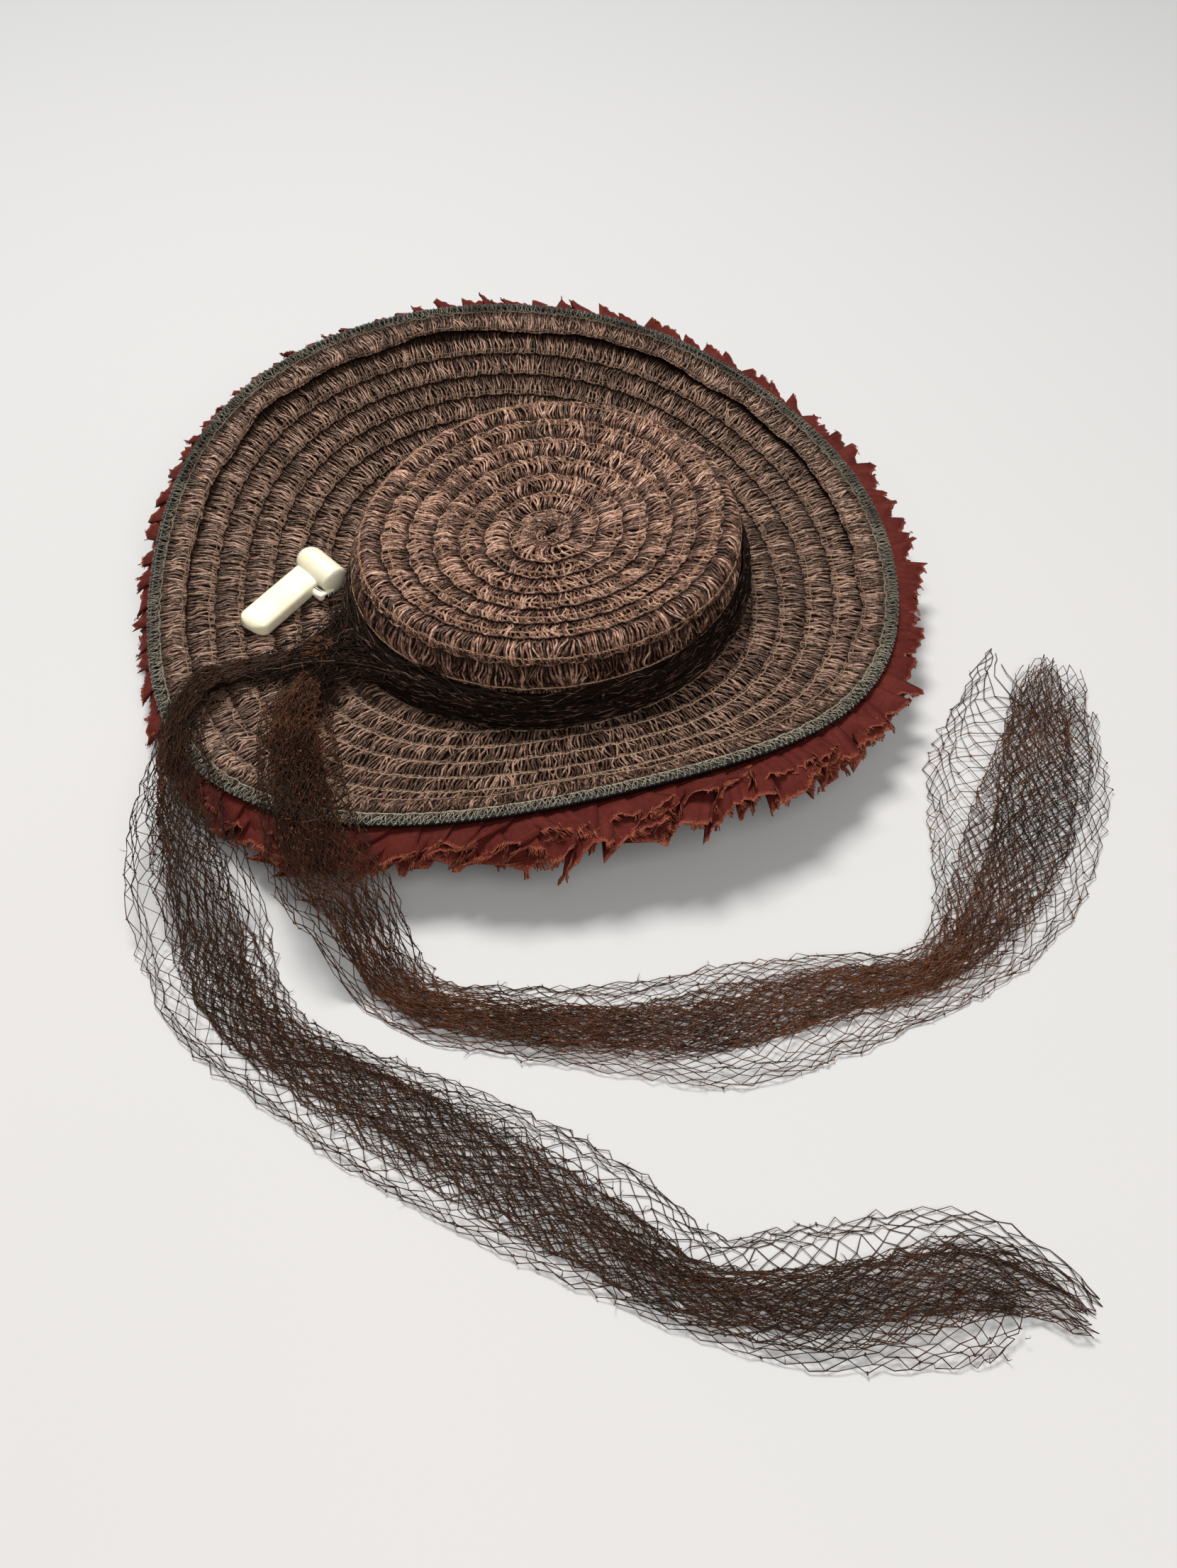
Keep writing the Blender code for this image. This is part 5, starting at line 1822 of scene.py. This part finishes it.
    def at(self, row: Array, half: Array) -> tuple[Array, Array]:
        """The place of crossings, and the upward way there."""
        share = self.across(half)
        run = row / (self.rows - 1)
        edge = np.sin(math.pi * np.clip(run * 1.05, 0, 1)) ** 0.5
        lag = 7.0 * ripple(self.seed + 2, share * 5, 1.0) * edge
        lag = lag + 3.5 * ripple(self.seed + 6, share * 9, 2.0) * run
        run = np.clip(run + lag / self.length, 0, 1.015)
        place = self.fold(share, run)
        sway = 2.0 * ripple(self.seed + 7, run * self.length, 0.01, 3)
        layer = np.clip(0.5 + 0.5 * np.sin(2.1 * share + sway), 0, 1)
        where = np.clip(run, 0, 1) * (self.stations - 1)
        low = np.minimum(where.astype(int), self.stations - 2)
        part = (run * (self.stations - 1) - low)[..., None]
        line = self.path[low] * (1 - part) + self.path[low + 1] * part
        beside = unit(self.side[low] * (1 - part) + self.side[low + 1] * part)
        lane = np.clip((place * 0.5 + 0.5) * (self.lanes - 1), 0, self.lanes - 1.001)
        lane_low = lane.astype(int)
        lane_part = lane - lane_low
        near = self.base[low, lane_low] * (1 - lane_part) + self.base[low, lane_low + 1] * lane_part
        far = self.base[low + 1, lane_low] * (1 - lane_part) + self.base[low + 1, lane_low + 1] * lane_part
        rest = near * (1 - part[..., 0]) + far * part[..., 0]
        bulk = np.sqrt(np.clip(1.05 - place ** 2, 0.0, 1))
        height = rest + 0.4 + self.depth * bulk * (0.06 + 0.94 * layer)
        plan = line[..., :2] + beside * (place * line[..., 2] / 2)[..., None]
        points = np.concatenate([plan, height[..., None]], axis=-1)
        points = points + self.uneven[np.minimum(row, self.rows - 1), half]
        points[..., 2] = np.maximum(points[..., 2], 0.3)
        return points, upward(points)

    def inner_folds(self) -> MeshParts:
        """The close folds inside the strip where it crosses the brim: a flat tube, tapered at its end.

        Each ring is an ellipse across the strip, narrower and lower than the net, and uneven along it.
        """
        count = int(self.stations * self.dense_share)
        station = np.arange(2, count)
        run = station / count
        turn = full_turn(20)
        taper = np.sqrt(np.clip(1 - run ** 3, 0.0, 1))[:, None]
        wave = 1 + 0.12 * ripple(self.seed + 11, station / 3.0, 1.0)[:, None]
        place = 0.5 * np.cos(turn)[None, :] * taper * wave
        across = self.path[station, 2][:, None] / 2 * place
        plan = self.path[station, None, :2] + self.side[station, None, :] * across[..., None]
        lane = np.clip((place * 0.5 + 0.5) * (self.lanes - 1), 0, self.lanes - 1).round().astype(int)
        rest = self.base[station[:, None], lane]
        ridge = 1 + 0.3 * np.sin(3 * turn + 0.4 * station[:, None])
        height = rest + 0.3 + self.depth * (0.36 + 0.3 * np.sin(turn)[None, :] * ridge) * taper
        rings = np.concatenate([plan, height[..., None]], axis=-1)
        return wall(rings, station * 2.0, poles=(rings[0].mean(0), rings[-1].mean(0)))

    def build(self) -> None:
        """Adds the tail as one net, with its knots and loose ends, and the folds inside it."""
        halves = 2 * self.columns
        net = self.yarn.net(self.at, halves, self.rows, self.seed + 8, (0, 1, 2, 3, 4, 6), self.shadow)
        knots = self.yarn.knots(self.at, halves, self.rows - 7, self.knot_share, self.seed + 9)
        loose = self.yarn.fuzz(self.at, halves, self.rows - 5, self.loose_ends, self.loose_reach,
                               self.seed + 10, self.crowded)
        parts = joined([net, knots, loose])
        piece = add_piece(self.name + "_net", parts, self.finish.material(), (self.name,))
        add_piece(self.name + "_folds", self.inner_folds(), DARK_NET.material())


@dataclass
class VeilBand:
    """The net wound round the crown's side, gathered into long folds."""

    foot: float = 4.4
    top: float = 22.0
    columns: int = 44
    rows: int = 104
    flat_height: float = 200.0
    loose_yarns: int = 96
    loose_stations: int = 26
    loose_radius: float = 0.17
    loose_ends: int = 600
    seed: int = 45
    yarn: NetYarn = field(default_factory=lambda: NetYarn(0.18, 0.3, 0.13))

    def __post_init__(self) -> None:
        """Draws the small unevenness of the crossings."""
        draw = np.random.default_rng(self.seed)
        self.uneven = draw.normal(0, 1, (self.rows, 2 * self.columns, 3)) * 0.26

    def surface(self, bearing: Array, up: Array, out: Array) -> Array:
        """A point of the band at a share of its height and of its depth."""
        rim = SHAPE.around("crown_radius", bearing)
        high = SHAPE.around("crown_height", bearing) - SHAPE.corner
        flare = SHAPE.around("wall_flare", bearing)
        depth = SHAPE.around("veil_depth", bearing)
        sway = np.sin(5 * bearing + 0.6) + 0.5 * np.sin(9 * bearing)
        height = self.foot + up * (self.top - self.foot + 0.8 * sway)
        radius = rim + flare * (1 - height / high) + SHAPE.relief + SHAPE.gap + out * depth
        return polar(bearing, radius, height)

    def bulge(self, up: Array) -> Array:
        """How full the band is at a share of its height, as on a circle."""
        return np.sqrt(np.clip(1.02 - (2 * up - 1) ** 2, 0.04, 1))

    def inner_folds(self) -> MeshParts:
        """The folds of net behind the outer ones: a closed wall with long soft ridges."""
        bearing = full_turn(200)
        rings = []
        for up in np.linspace(0.1, 0.88, 13):
            ridge = 0.38 + 0.2 * np.sin(7 * up + 2 * np.sin(3 * bearing))
            ridge = ridge + 0.1 * np.sin(15 * up + 3 * bearing)
            belly = math.sqrt(max(0.05, 1 - (2 * up - 1) ** 2))
            rings.append(self.surface(bearing, up, ridge * belly))
        rings += [self.surface(bearing, up, 0.0) for up in (0.88, 0.5, 0.1)]
        return wall(np.stack(rings), np.linspace(0, 40, len(rings)))

    def at(self, row: Array, half: Array) -> tuple[Array, Array]:
        """The place of crossings, and the outward way there.

        The place across the band is a part of the flat net's, and two sines of it that wander round the hat.
        """
        share = 2 * half / (2 * self.columns - 1) - 1
        bearing = (row % self.rows) / self.rows * FULL_TURN
        bearing = bearing + 0.035 * np.sin(4 * bearing + 3 * share) + 0.012 * np.sin(19 * share)
        first = 1.6 * np.sin(2 * bearing + 1) + 0.9 * np.sin(5 * bearing)
        second = 2.0 * np.sin(3 * bearing) + 1.1 * np.sin(7 * bearing + 2)
        place = (0.40 * share + 0.42 * np.sin(2.6 * math.pi * share + first)
                 + 0.24 * np.sin(5.3 * math.pi * share + second))
        layer = 0.5 + 0.5 * np.sin(2.1 * share + 1.5 * np.sin(bearing * 2))
        up = np.clip(0.5 + place * 0.62, -0.03, 1.1)
        points = self.surface(bearing, up, 0.32 + 0.85 * self.bulge(up) * (0.25 + 0.75 * layer))
        points = points + self.uneven[row % self.rows, half]
        return points, unit(points * np.array([1.0, 1.0, 0.0]))

    def long_yarns(self) -> MeshParts:
        """Loose wavy yarns that run a part of the way round over the folds."""
        draw = np.random.default_rng(self.seed + 1)
        count = self.loose_yarns
        step = np.linspace(0, 1, self.loose_stations)[None, :]
        bearing = draw.uniform(0, FULL_TURN, count)[:, None] + draw.uniform(0.5, 1.3, count)[:, None] * step
        start = draw.uniform(0.02, 0.98, count)[:, None]
        up = start + 0.16 * draw.normal(0, 1, count)[:, None] * (step - 0.5)
        up = up + 0.05 * np.sin(bearing * 9 + 3 * start) + 0.02 * ripple(44, bearing * 60 + 90 * start, 1.0)
        up = np.clip(up, -0.02, 1.08)
        out = 0.5 + 0.68 * self.bulge(up) + 0.06 * ripple(43, bearing * 80 + 50 * start, 1.0)
        path = self.surface(bearing, up, out)
        normal = unit(path * np.array([1.0, 1.0, 0.0]))
        # High tints turn to painted glints in the yarn's finish.
        return strands(path, normal, self.loose_radius, self.loose_radius,
                       tint=draw.random((count, self.loose_stations)) ** 1.5)

    def build(self) -> None:
        """Adds the inner folds and the net over them."""
        finish = DARK_NET.material()
        inner = add_piece("veil_inner_folds", self.inner_folds(), finish, ("veil_band",))
        halves = 2 * self.columns
        loose = self.yarn.fuzz(self.at, halves, self.rows, self.loose_ends, 2.8, self.seed + 3)
        parts = joined([self.yarn.net(self.at, halves, self.rows + 1, self.seed + 2),
                        self.yarn.knots(self.at, halves, self.rows, 0.3, self.seed + 4),
                        loose, self.long_yarns()])
        piece = add_piece("veil_band_net", parts, finish)
        bearing = np.linspace(0, FULL_TURN, 361)
        ring = self.surface(bearing, 0.5 + 0 * bearing, 0.5)


@dataclass
class VeilKnot:
    """The net drawn together beside the crown: a gathered lump with yarn wound over it."""

    centre: Place = (-86.5, -50.0, 10.7)
    half: Place = (8.4, 6.4, 5.4)
    heading: float = 30.0
    first_end: Place = (-90.5, -82.0, 7.0)
    second_end: Place = (-117.0, -64.0, 7.5)
    wound: int = 170
    gathered: int = 300
    hairs: int = 520
    seed: int = 51

    def point(self, turn: Array, rise: Array, swell: Array | float) -> Array:
        """A point of the lump: an ellipsoid turned to its heading and swollen by a share."""
        heading = math.radians(self.heading)
        along = self.half[0] * np.cos(rise) * np.cos(turn) * swell
        across = self.half[1] * np.cos(rise) * np.sin(turn) * swell
        up = self.half[2] * np.sin(rise) * swell
        return np.stack([self.centre[0] + along * math.cos(heading) - across * math.sin(heading),
                         self.centre[1] + along * math.sin(heading) + across * math.cos(heading),
                         self.centre[2] + up + 0 * turn], axis=-1)

    def core(self) -> MeshParts:
        """The lump's body, with gathers from pole to pole."""
        turn = full_turn(48)
        levels = np.radians(np.linspace(-80, 80, 15))
        rings = [self.point(turn, np.full_like(turn, level),
                            0.9 + 0.05 * np.cos(11 * turn + 2 * level) + 0.03 * np.cos(17 * turn))
                 for level in levels]
        x, y, z = self.centre
        poles = ((x, y, z - 0.9 * self.half[2]), (x, y, z + 0.9 * self.half[2]))
        return wall(np.stack(rings), np.degrees(levels) / 8, poles=poles)

    def windings(self) -> MeshParts:
        """Yarn that runs over the lump in leaning loops."""
        draw = np.random.default_rng(self.seed)
        count = self.wound
        start = draw.uniform(0, FULL_TURN, count)[:, None]
        low = draw.uniform(-0.9, 0.5, count)[:, None]
        step = np.linspace(0, 1, 7)[None, :]
        turn = start + draw.normal(0.9, 0.5, count)[:, None] * step
        rise = np.clip(low + draw.uniform(0.3, 1.3, count)[:, None] * step, -1.3, 1.4)
        swell = 0.97 + draw.uniform(0, 0.08, count)[:, None] + 0.05 * np.sin(math.pi * step)
        path, normal = raised(self.point, turn, rise, swell)
        return strands(path, normal, 0.26, 0.24, tint=draw.random(count) ** 2)

    def gathers(self) -> tuple[MeshParts, MeshParts]:
        """Yarns that come off the crown's side, pass over the lump and run down into both ends of the net.

        Each one is a curve with one middle point: a share squared of its end, twice the share times the rest
        of the middle, and the rest squared of its start.

        Returns:
            The yarns, and the short hairs that stand off them.
        """
        draw = np.random.default_rng(self.seed + 2)
        count = self.gathered
        bearing = draw.uniform(math.radians(196), math.radians(238), count)
        reach = SHAPE.around("crown_radius", bearing) + draw.uniform(5.0, 9.5, count)
        start = polar(bearing, reach, draw.uniform(5.5, 18.0, count))
        middle = np.array(self.centre) + draw.normal(0, 1, (count, 3)) * np.array([4.2, 3.6, 1.6])
        middle = middle + (0, 0, 6.0)
        ends = np.where(np.arange(count)[:, None] % 2 == 0, self.first_end, self.second_end)
        end = np.array(ends) + draw.normal(0, 1, (count, 3)) * np.array([5.5, 5.5, 0.8])
        step = np.linspace(0, 1, 11)[None, :, None]
        path = start[:, None] * (1 - step) ** 2 + 2 * middle[:, None] * step * (1 - step)
        path = path + end[:, None] * step ** 2
        sway = 2.0 * ripple(54, step[..., 0] * 34 + np.arange(count)[:, None] * 7.0, 1.0)
        path = path + sway[..., None] * np.array([0.8, -0.6, 0.5])
        path[..., 2] = np.maximum(path[..., 2], 5.2)
        made = strands(path, upward(path), 0.19, 0.19, tint=draw.random(count) ** 4)
        loose = self.hairs
        root = path[draw.integers(0, count, loose), draw.integers(1, 10, loose)]
        way = unit(draw.normal(0, 1, (loose, 3)) + np.array([0, 0, 0.3]))
        way = way * draw.uniform(1.2, 3.2, (loose, 1))
        ends = np.stack([root, root + way], axis=1)
        ends[..., 2] = np.maximum(ends[..., 2], 5.0)
        return made, strands(ends, upward(ends), 0.13, 0.13, tint=draw.random(loose) ** 2)

    def build(self) -> None:
        """Adds the knot's pieces."""
        yarns, hairs = self.gathers()
        add_piece("veil_knot_core", self.core(), DARK_NET.material(), ("veil_knot",))
        # In the net finishes, the highest tints of these yarns and hairs turn to painted glints.
        add_piece("veil_knot_gathers", yarns, DARK_NET.material())
        add_piece("veil_knot_windings", joined([self.windings(), hairs]), COPPER_NET.material())


def boxed(count: int, power: float, wide: float, thick: float) -> Array:
    """A rounded-box outline: the cosine and the sine of the turn, each raised to a power below 1."""
    turn = full_turn(count)
    sides = np.stack([np.cos(turn), np.sin(turn)], axis=1)
    return np.sign(sides) * np.abs(sides) ** power * np.array([wide, thick]) / 2


def turned(degrees: float, axis: str) -> Array:
    """The matrix that turns points about an axis."""
    angle = math.radians(degrees)
    c, s = math.cos(angle), math.sin(angle)
    rows = {"X": [[1, 0, 0], [0, c, -s], [0, s, c]], "Y": [[c, 0, s], [0, 1, 0], [-s, 0, c]],
            "Z": [[c, -s, 0], [s, c, 0], [0, 0, 1]]}
    return np.array(rows[axis])


@dataclass
class Ornament:
    """The cream moulding: a long rounded bar, a short round bar across its end, and a sewing tab."""

    place: Place = (-104.4, -18.5, 8.4)
    heading: float = 61.0
    pitch: float = 5.0
    roll: float = 7.0
    length: float = 48.0
    width: float = 13.0
    depth: float = 6.8
    end_round: float = 4.5
    cross_radius: float = 6.1
    cross_length: float = 22.5
    cross_place: Place = (18.4, -2.4, 6.2)
    cross_turn: float = -104.0
    tab_size: Place = (8.6, 7.6, 3.2)
    tab_place: Place = (11.3, -8.6, 3.0)
    tab_turn: float = -14.0
    tie_count: int = 7
    tie_radius: float = 0.26
    tie_seed: int = 71

    def laid(self, points: Array) -> Array:
        """Puts points of the bar's own axes where the bar lies: rolled, pitched, headed and moved."""
        turn = turned(self.heading, "Z") @ turned(self.pitch, "Y") @ turned(self.roll, "X")
        return points @ turn.T + np.array(self.place)

    def placed(self, made: MeshParts, heading: float, place: Place) -> MeshParts:
        """Turns and moves a mesh in the bar's own axes, and lays it with the bar."""
        made.vertices = self.laid(made.vertices @ turned(heading, "Z").T + np.array(place))
        return made

    def rounded(self, outline: Array, length: float, ends: tuple[float, float], steps: int = 9) -> MeshParts:
        """A bar along X whose outline shrinks towards each end as on a quarter circle."""
        rings, places = [], []
        for side, reach in zip((-1, 1), ends):
            turns = np.radians(np.linspace(86, 0, steps) if side < 0 else np.linspace(0, 86, steps))
            for turn in turns:
                x = side * (length / 2 - reach + reach * math.sin(turn))
                shrunk = outline * math.cos(turn)
                rings.append(np.concatenate([np.full((len(outline), 1), x), shrunk], axis=1))
                places.append(x)
        rings = np.stack(rings)
        poles = (rings[0].mean(0), rings[-1].mean(0))
        return wall(rings, np.array(places), poles=poles)

    def long_bar(self) -> MeshParts:
        """The bar: flat below, upright at its sides and domed above, by a rounded-box outline."""
        y, z = boxed(44, 0.42, self.width, self.depth).T
        dome = np.where(z > 0, 0.55 * (1 - (2 * y / self.width) ** 2), 0)
        outline = np.stack([y, z + dome - 0.25], axis=1)
        made = self.rounded(outline, self.length, (self.end_round, self.end_round))
        return self.placed(made, 0.0, (0.0, 0.0, self.depth / 2))

    def short_bar(self) -> MeshParts:
        """The round bar, with a ball end and a cut end whose rim is softly rounded."""
        turn = full_turn(40)
        circle = np.stack([np.cos(turn), np.sin(turn)], axis=1) * self.cross_radius
        made = self.rounded(circle, self.cross_length, (self.cross_radius, 2.4), 10)
        return self.placed(made, self.cross_turn, self.cross_place)

    def tab(self) -> MeshParts:
        """The small flat tab beside the bar."""
        long, wide, thick = self.tab_size
        made = self.rounded(boxed(28, 0.35, wide, thick), long, (1.2, 1.2), 6)
        return self.placed(made, self.tab_turn, self.tab_place)

    def ties(self) -> MeshParts:
        """The loops of dark thread that hold the tab to the braid."""
        draw = np.random.default_rng(self.tie_seed)
        turn = full_turn(20)[None, :]
        count = self.tie_count
        along = np.linspace(-2.2, 2.2, count)[:, None] + draw.normal(0, 0.25, (count, 1))
        lean = draw.normal(0, 0.5, (count, 1))
        _, wide, thick = self.tab_size
        y = np.cos(turn) * (wide / 2 + 0.35) + 0 * along
        z = np.sin(turn) * (thick / 2 + 0.3) - 0.1 + 0 * along
        x = along + lean * np.cos(turn)
        path = np.stack([x, y, z], axis=-1)
        normal = unit(path * np.array([0, 1, 1]))
        matrix = turned(self.tab_turn, "Z").T
        path = self.laid(path @ matrix + np.array(self.tab_place))
        normal = self.laid(normal @ matrix) - np.array(self.place)
        return strands(path, normal, self.tie_radius, self.tie_radius, looped=True)

    def build(self) -> None:
        """Adds the moulding and its ties."""
        parts = joined([self.long_bar(), self.short_bar(), self.tab()])
        add_piece("ornament_moulding", parts, CREAM.material(), ("ornament",))
        add_piece("ornament_ties", self.ties(), DARK_NET.material())


@dataclass
class Studio:
    """The floor, the soft lights and the camera."""

    picture: tuple[int, int] = (1660, 2212)
    focal_pixels: float = 2000.0
    sensor: float = 36.0
    camera_place: Place = (-0.0088, -0.3656, 0.3950)
    look_down: float = 50.0

    def floor(self) -> None:
        """Adds the pale floor."""
        half = 4.0
        mesh = bpy.data.meshes.new("floor")
        corners = [(-half, -half, 0.0), (half, -half, 0.0), (half, half, 0.0), (-half, half, 0.0)]
        mesh.from_pydata(corners, [], [(0, 1, 2, 3)])
        mesh.materials.append(FloorFinish().material())
        linked("floor", mesh)

    def light(self, name: str, place: Place, size: float, watts: float, colour: Colour) -> None:
        """Adds one square area light that faces the hat."""
        data = bpy.data.lights.new(name, "AREA")
        data.size = size
        data.energy = watts
        data.color = colour
        lamp = linked(name, data)
        x, y, z = place
        lamp.location = place
        lamp.rotation_euler = (math.atan2(math.hypot(x, y), z), 0.0, math.atan2(x, -y))

    def camera(self) -> None:
        """Adds the camera at the photograph's angle."""
        data = bpy.data.cameras.new("camera")
        data.sensor_fit = "VERTICAL"
        data.sensor_height = self.sensor
        data.lens = self.focal_pixels / self.picture[1] * self.sensor
        data.clip_start = 0.01
        camera = linked("camera", data)
        camera.location = self.camera_place
        camera.rotation_euler = (math.radians(90 - self.look_down), 0.0, 0.0)
        bpy.context.scene.camera = camera

    def build(self) -> None:
        """Adds everything that isn't the hat."""
        self.floor()
        self.light("key", (-0.3, 0.75, 1.6), 0.6, 39.0, (1.0, 0.985, 0.965))
        self.light("fill", (0.45, -1.1, 1.5), 1.2, 20.0, (1.0, 0.99, 0.98))
        world = bpy.data.worlds.new("studio") if bpy.context.scene.world is None else bpy.context.scene.world
        bpy.context.scene.world = world
        world.use_nodes = True
        background = world.node_tree.nodes["Background"]
        background.inputs["Color"].default_value = (1.0, 0.99, 0.98, 1.0)
        background.inputs["Strength"].default_value = 0.2
        bpy.context.scene.view_settings.view_transform = "Standard"
        self.camera()


def main() -> None:
    """Builds the hat and its surroundings, in order."""
    logging.basicConfig(level=logging.INFO, format="%(name)s %(message)s")
    Studio().build()
    StrawCrown().build()
    StrawBrim().build()
    EdgeBand().build()
    RibbonRuffle().build()
    VeilBand().build()
    VeilKnot().build()
    VeilTail("veil_tail_inner", INNER_TAIL, COPPER_NET, 300, columns=56, end_painted_shade=0.4).build()
    VeilTail("veil_tail_outer", OUTER_TAIL, BROWN_NET, 400, columns=52).build()
    Ornament().build()


if __name__ == "__main__":
    main()
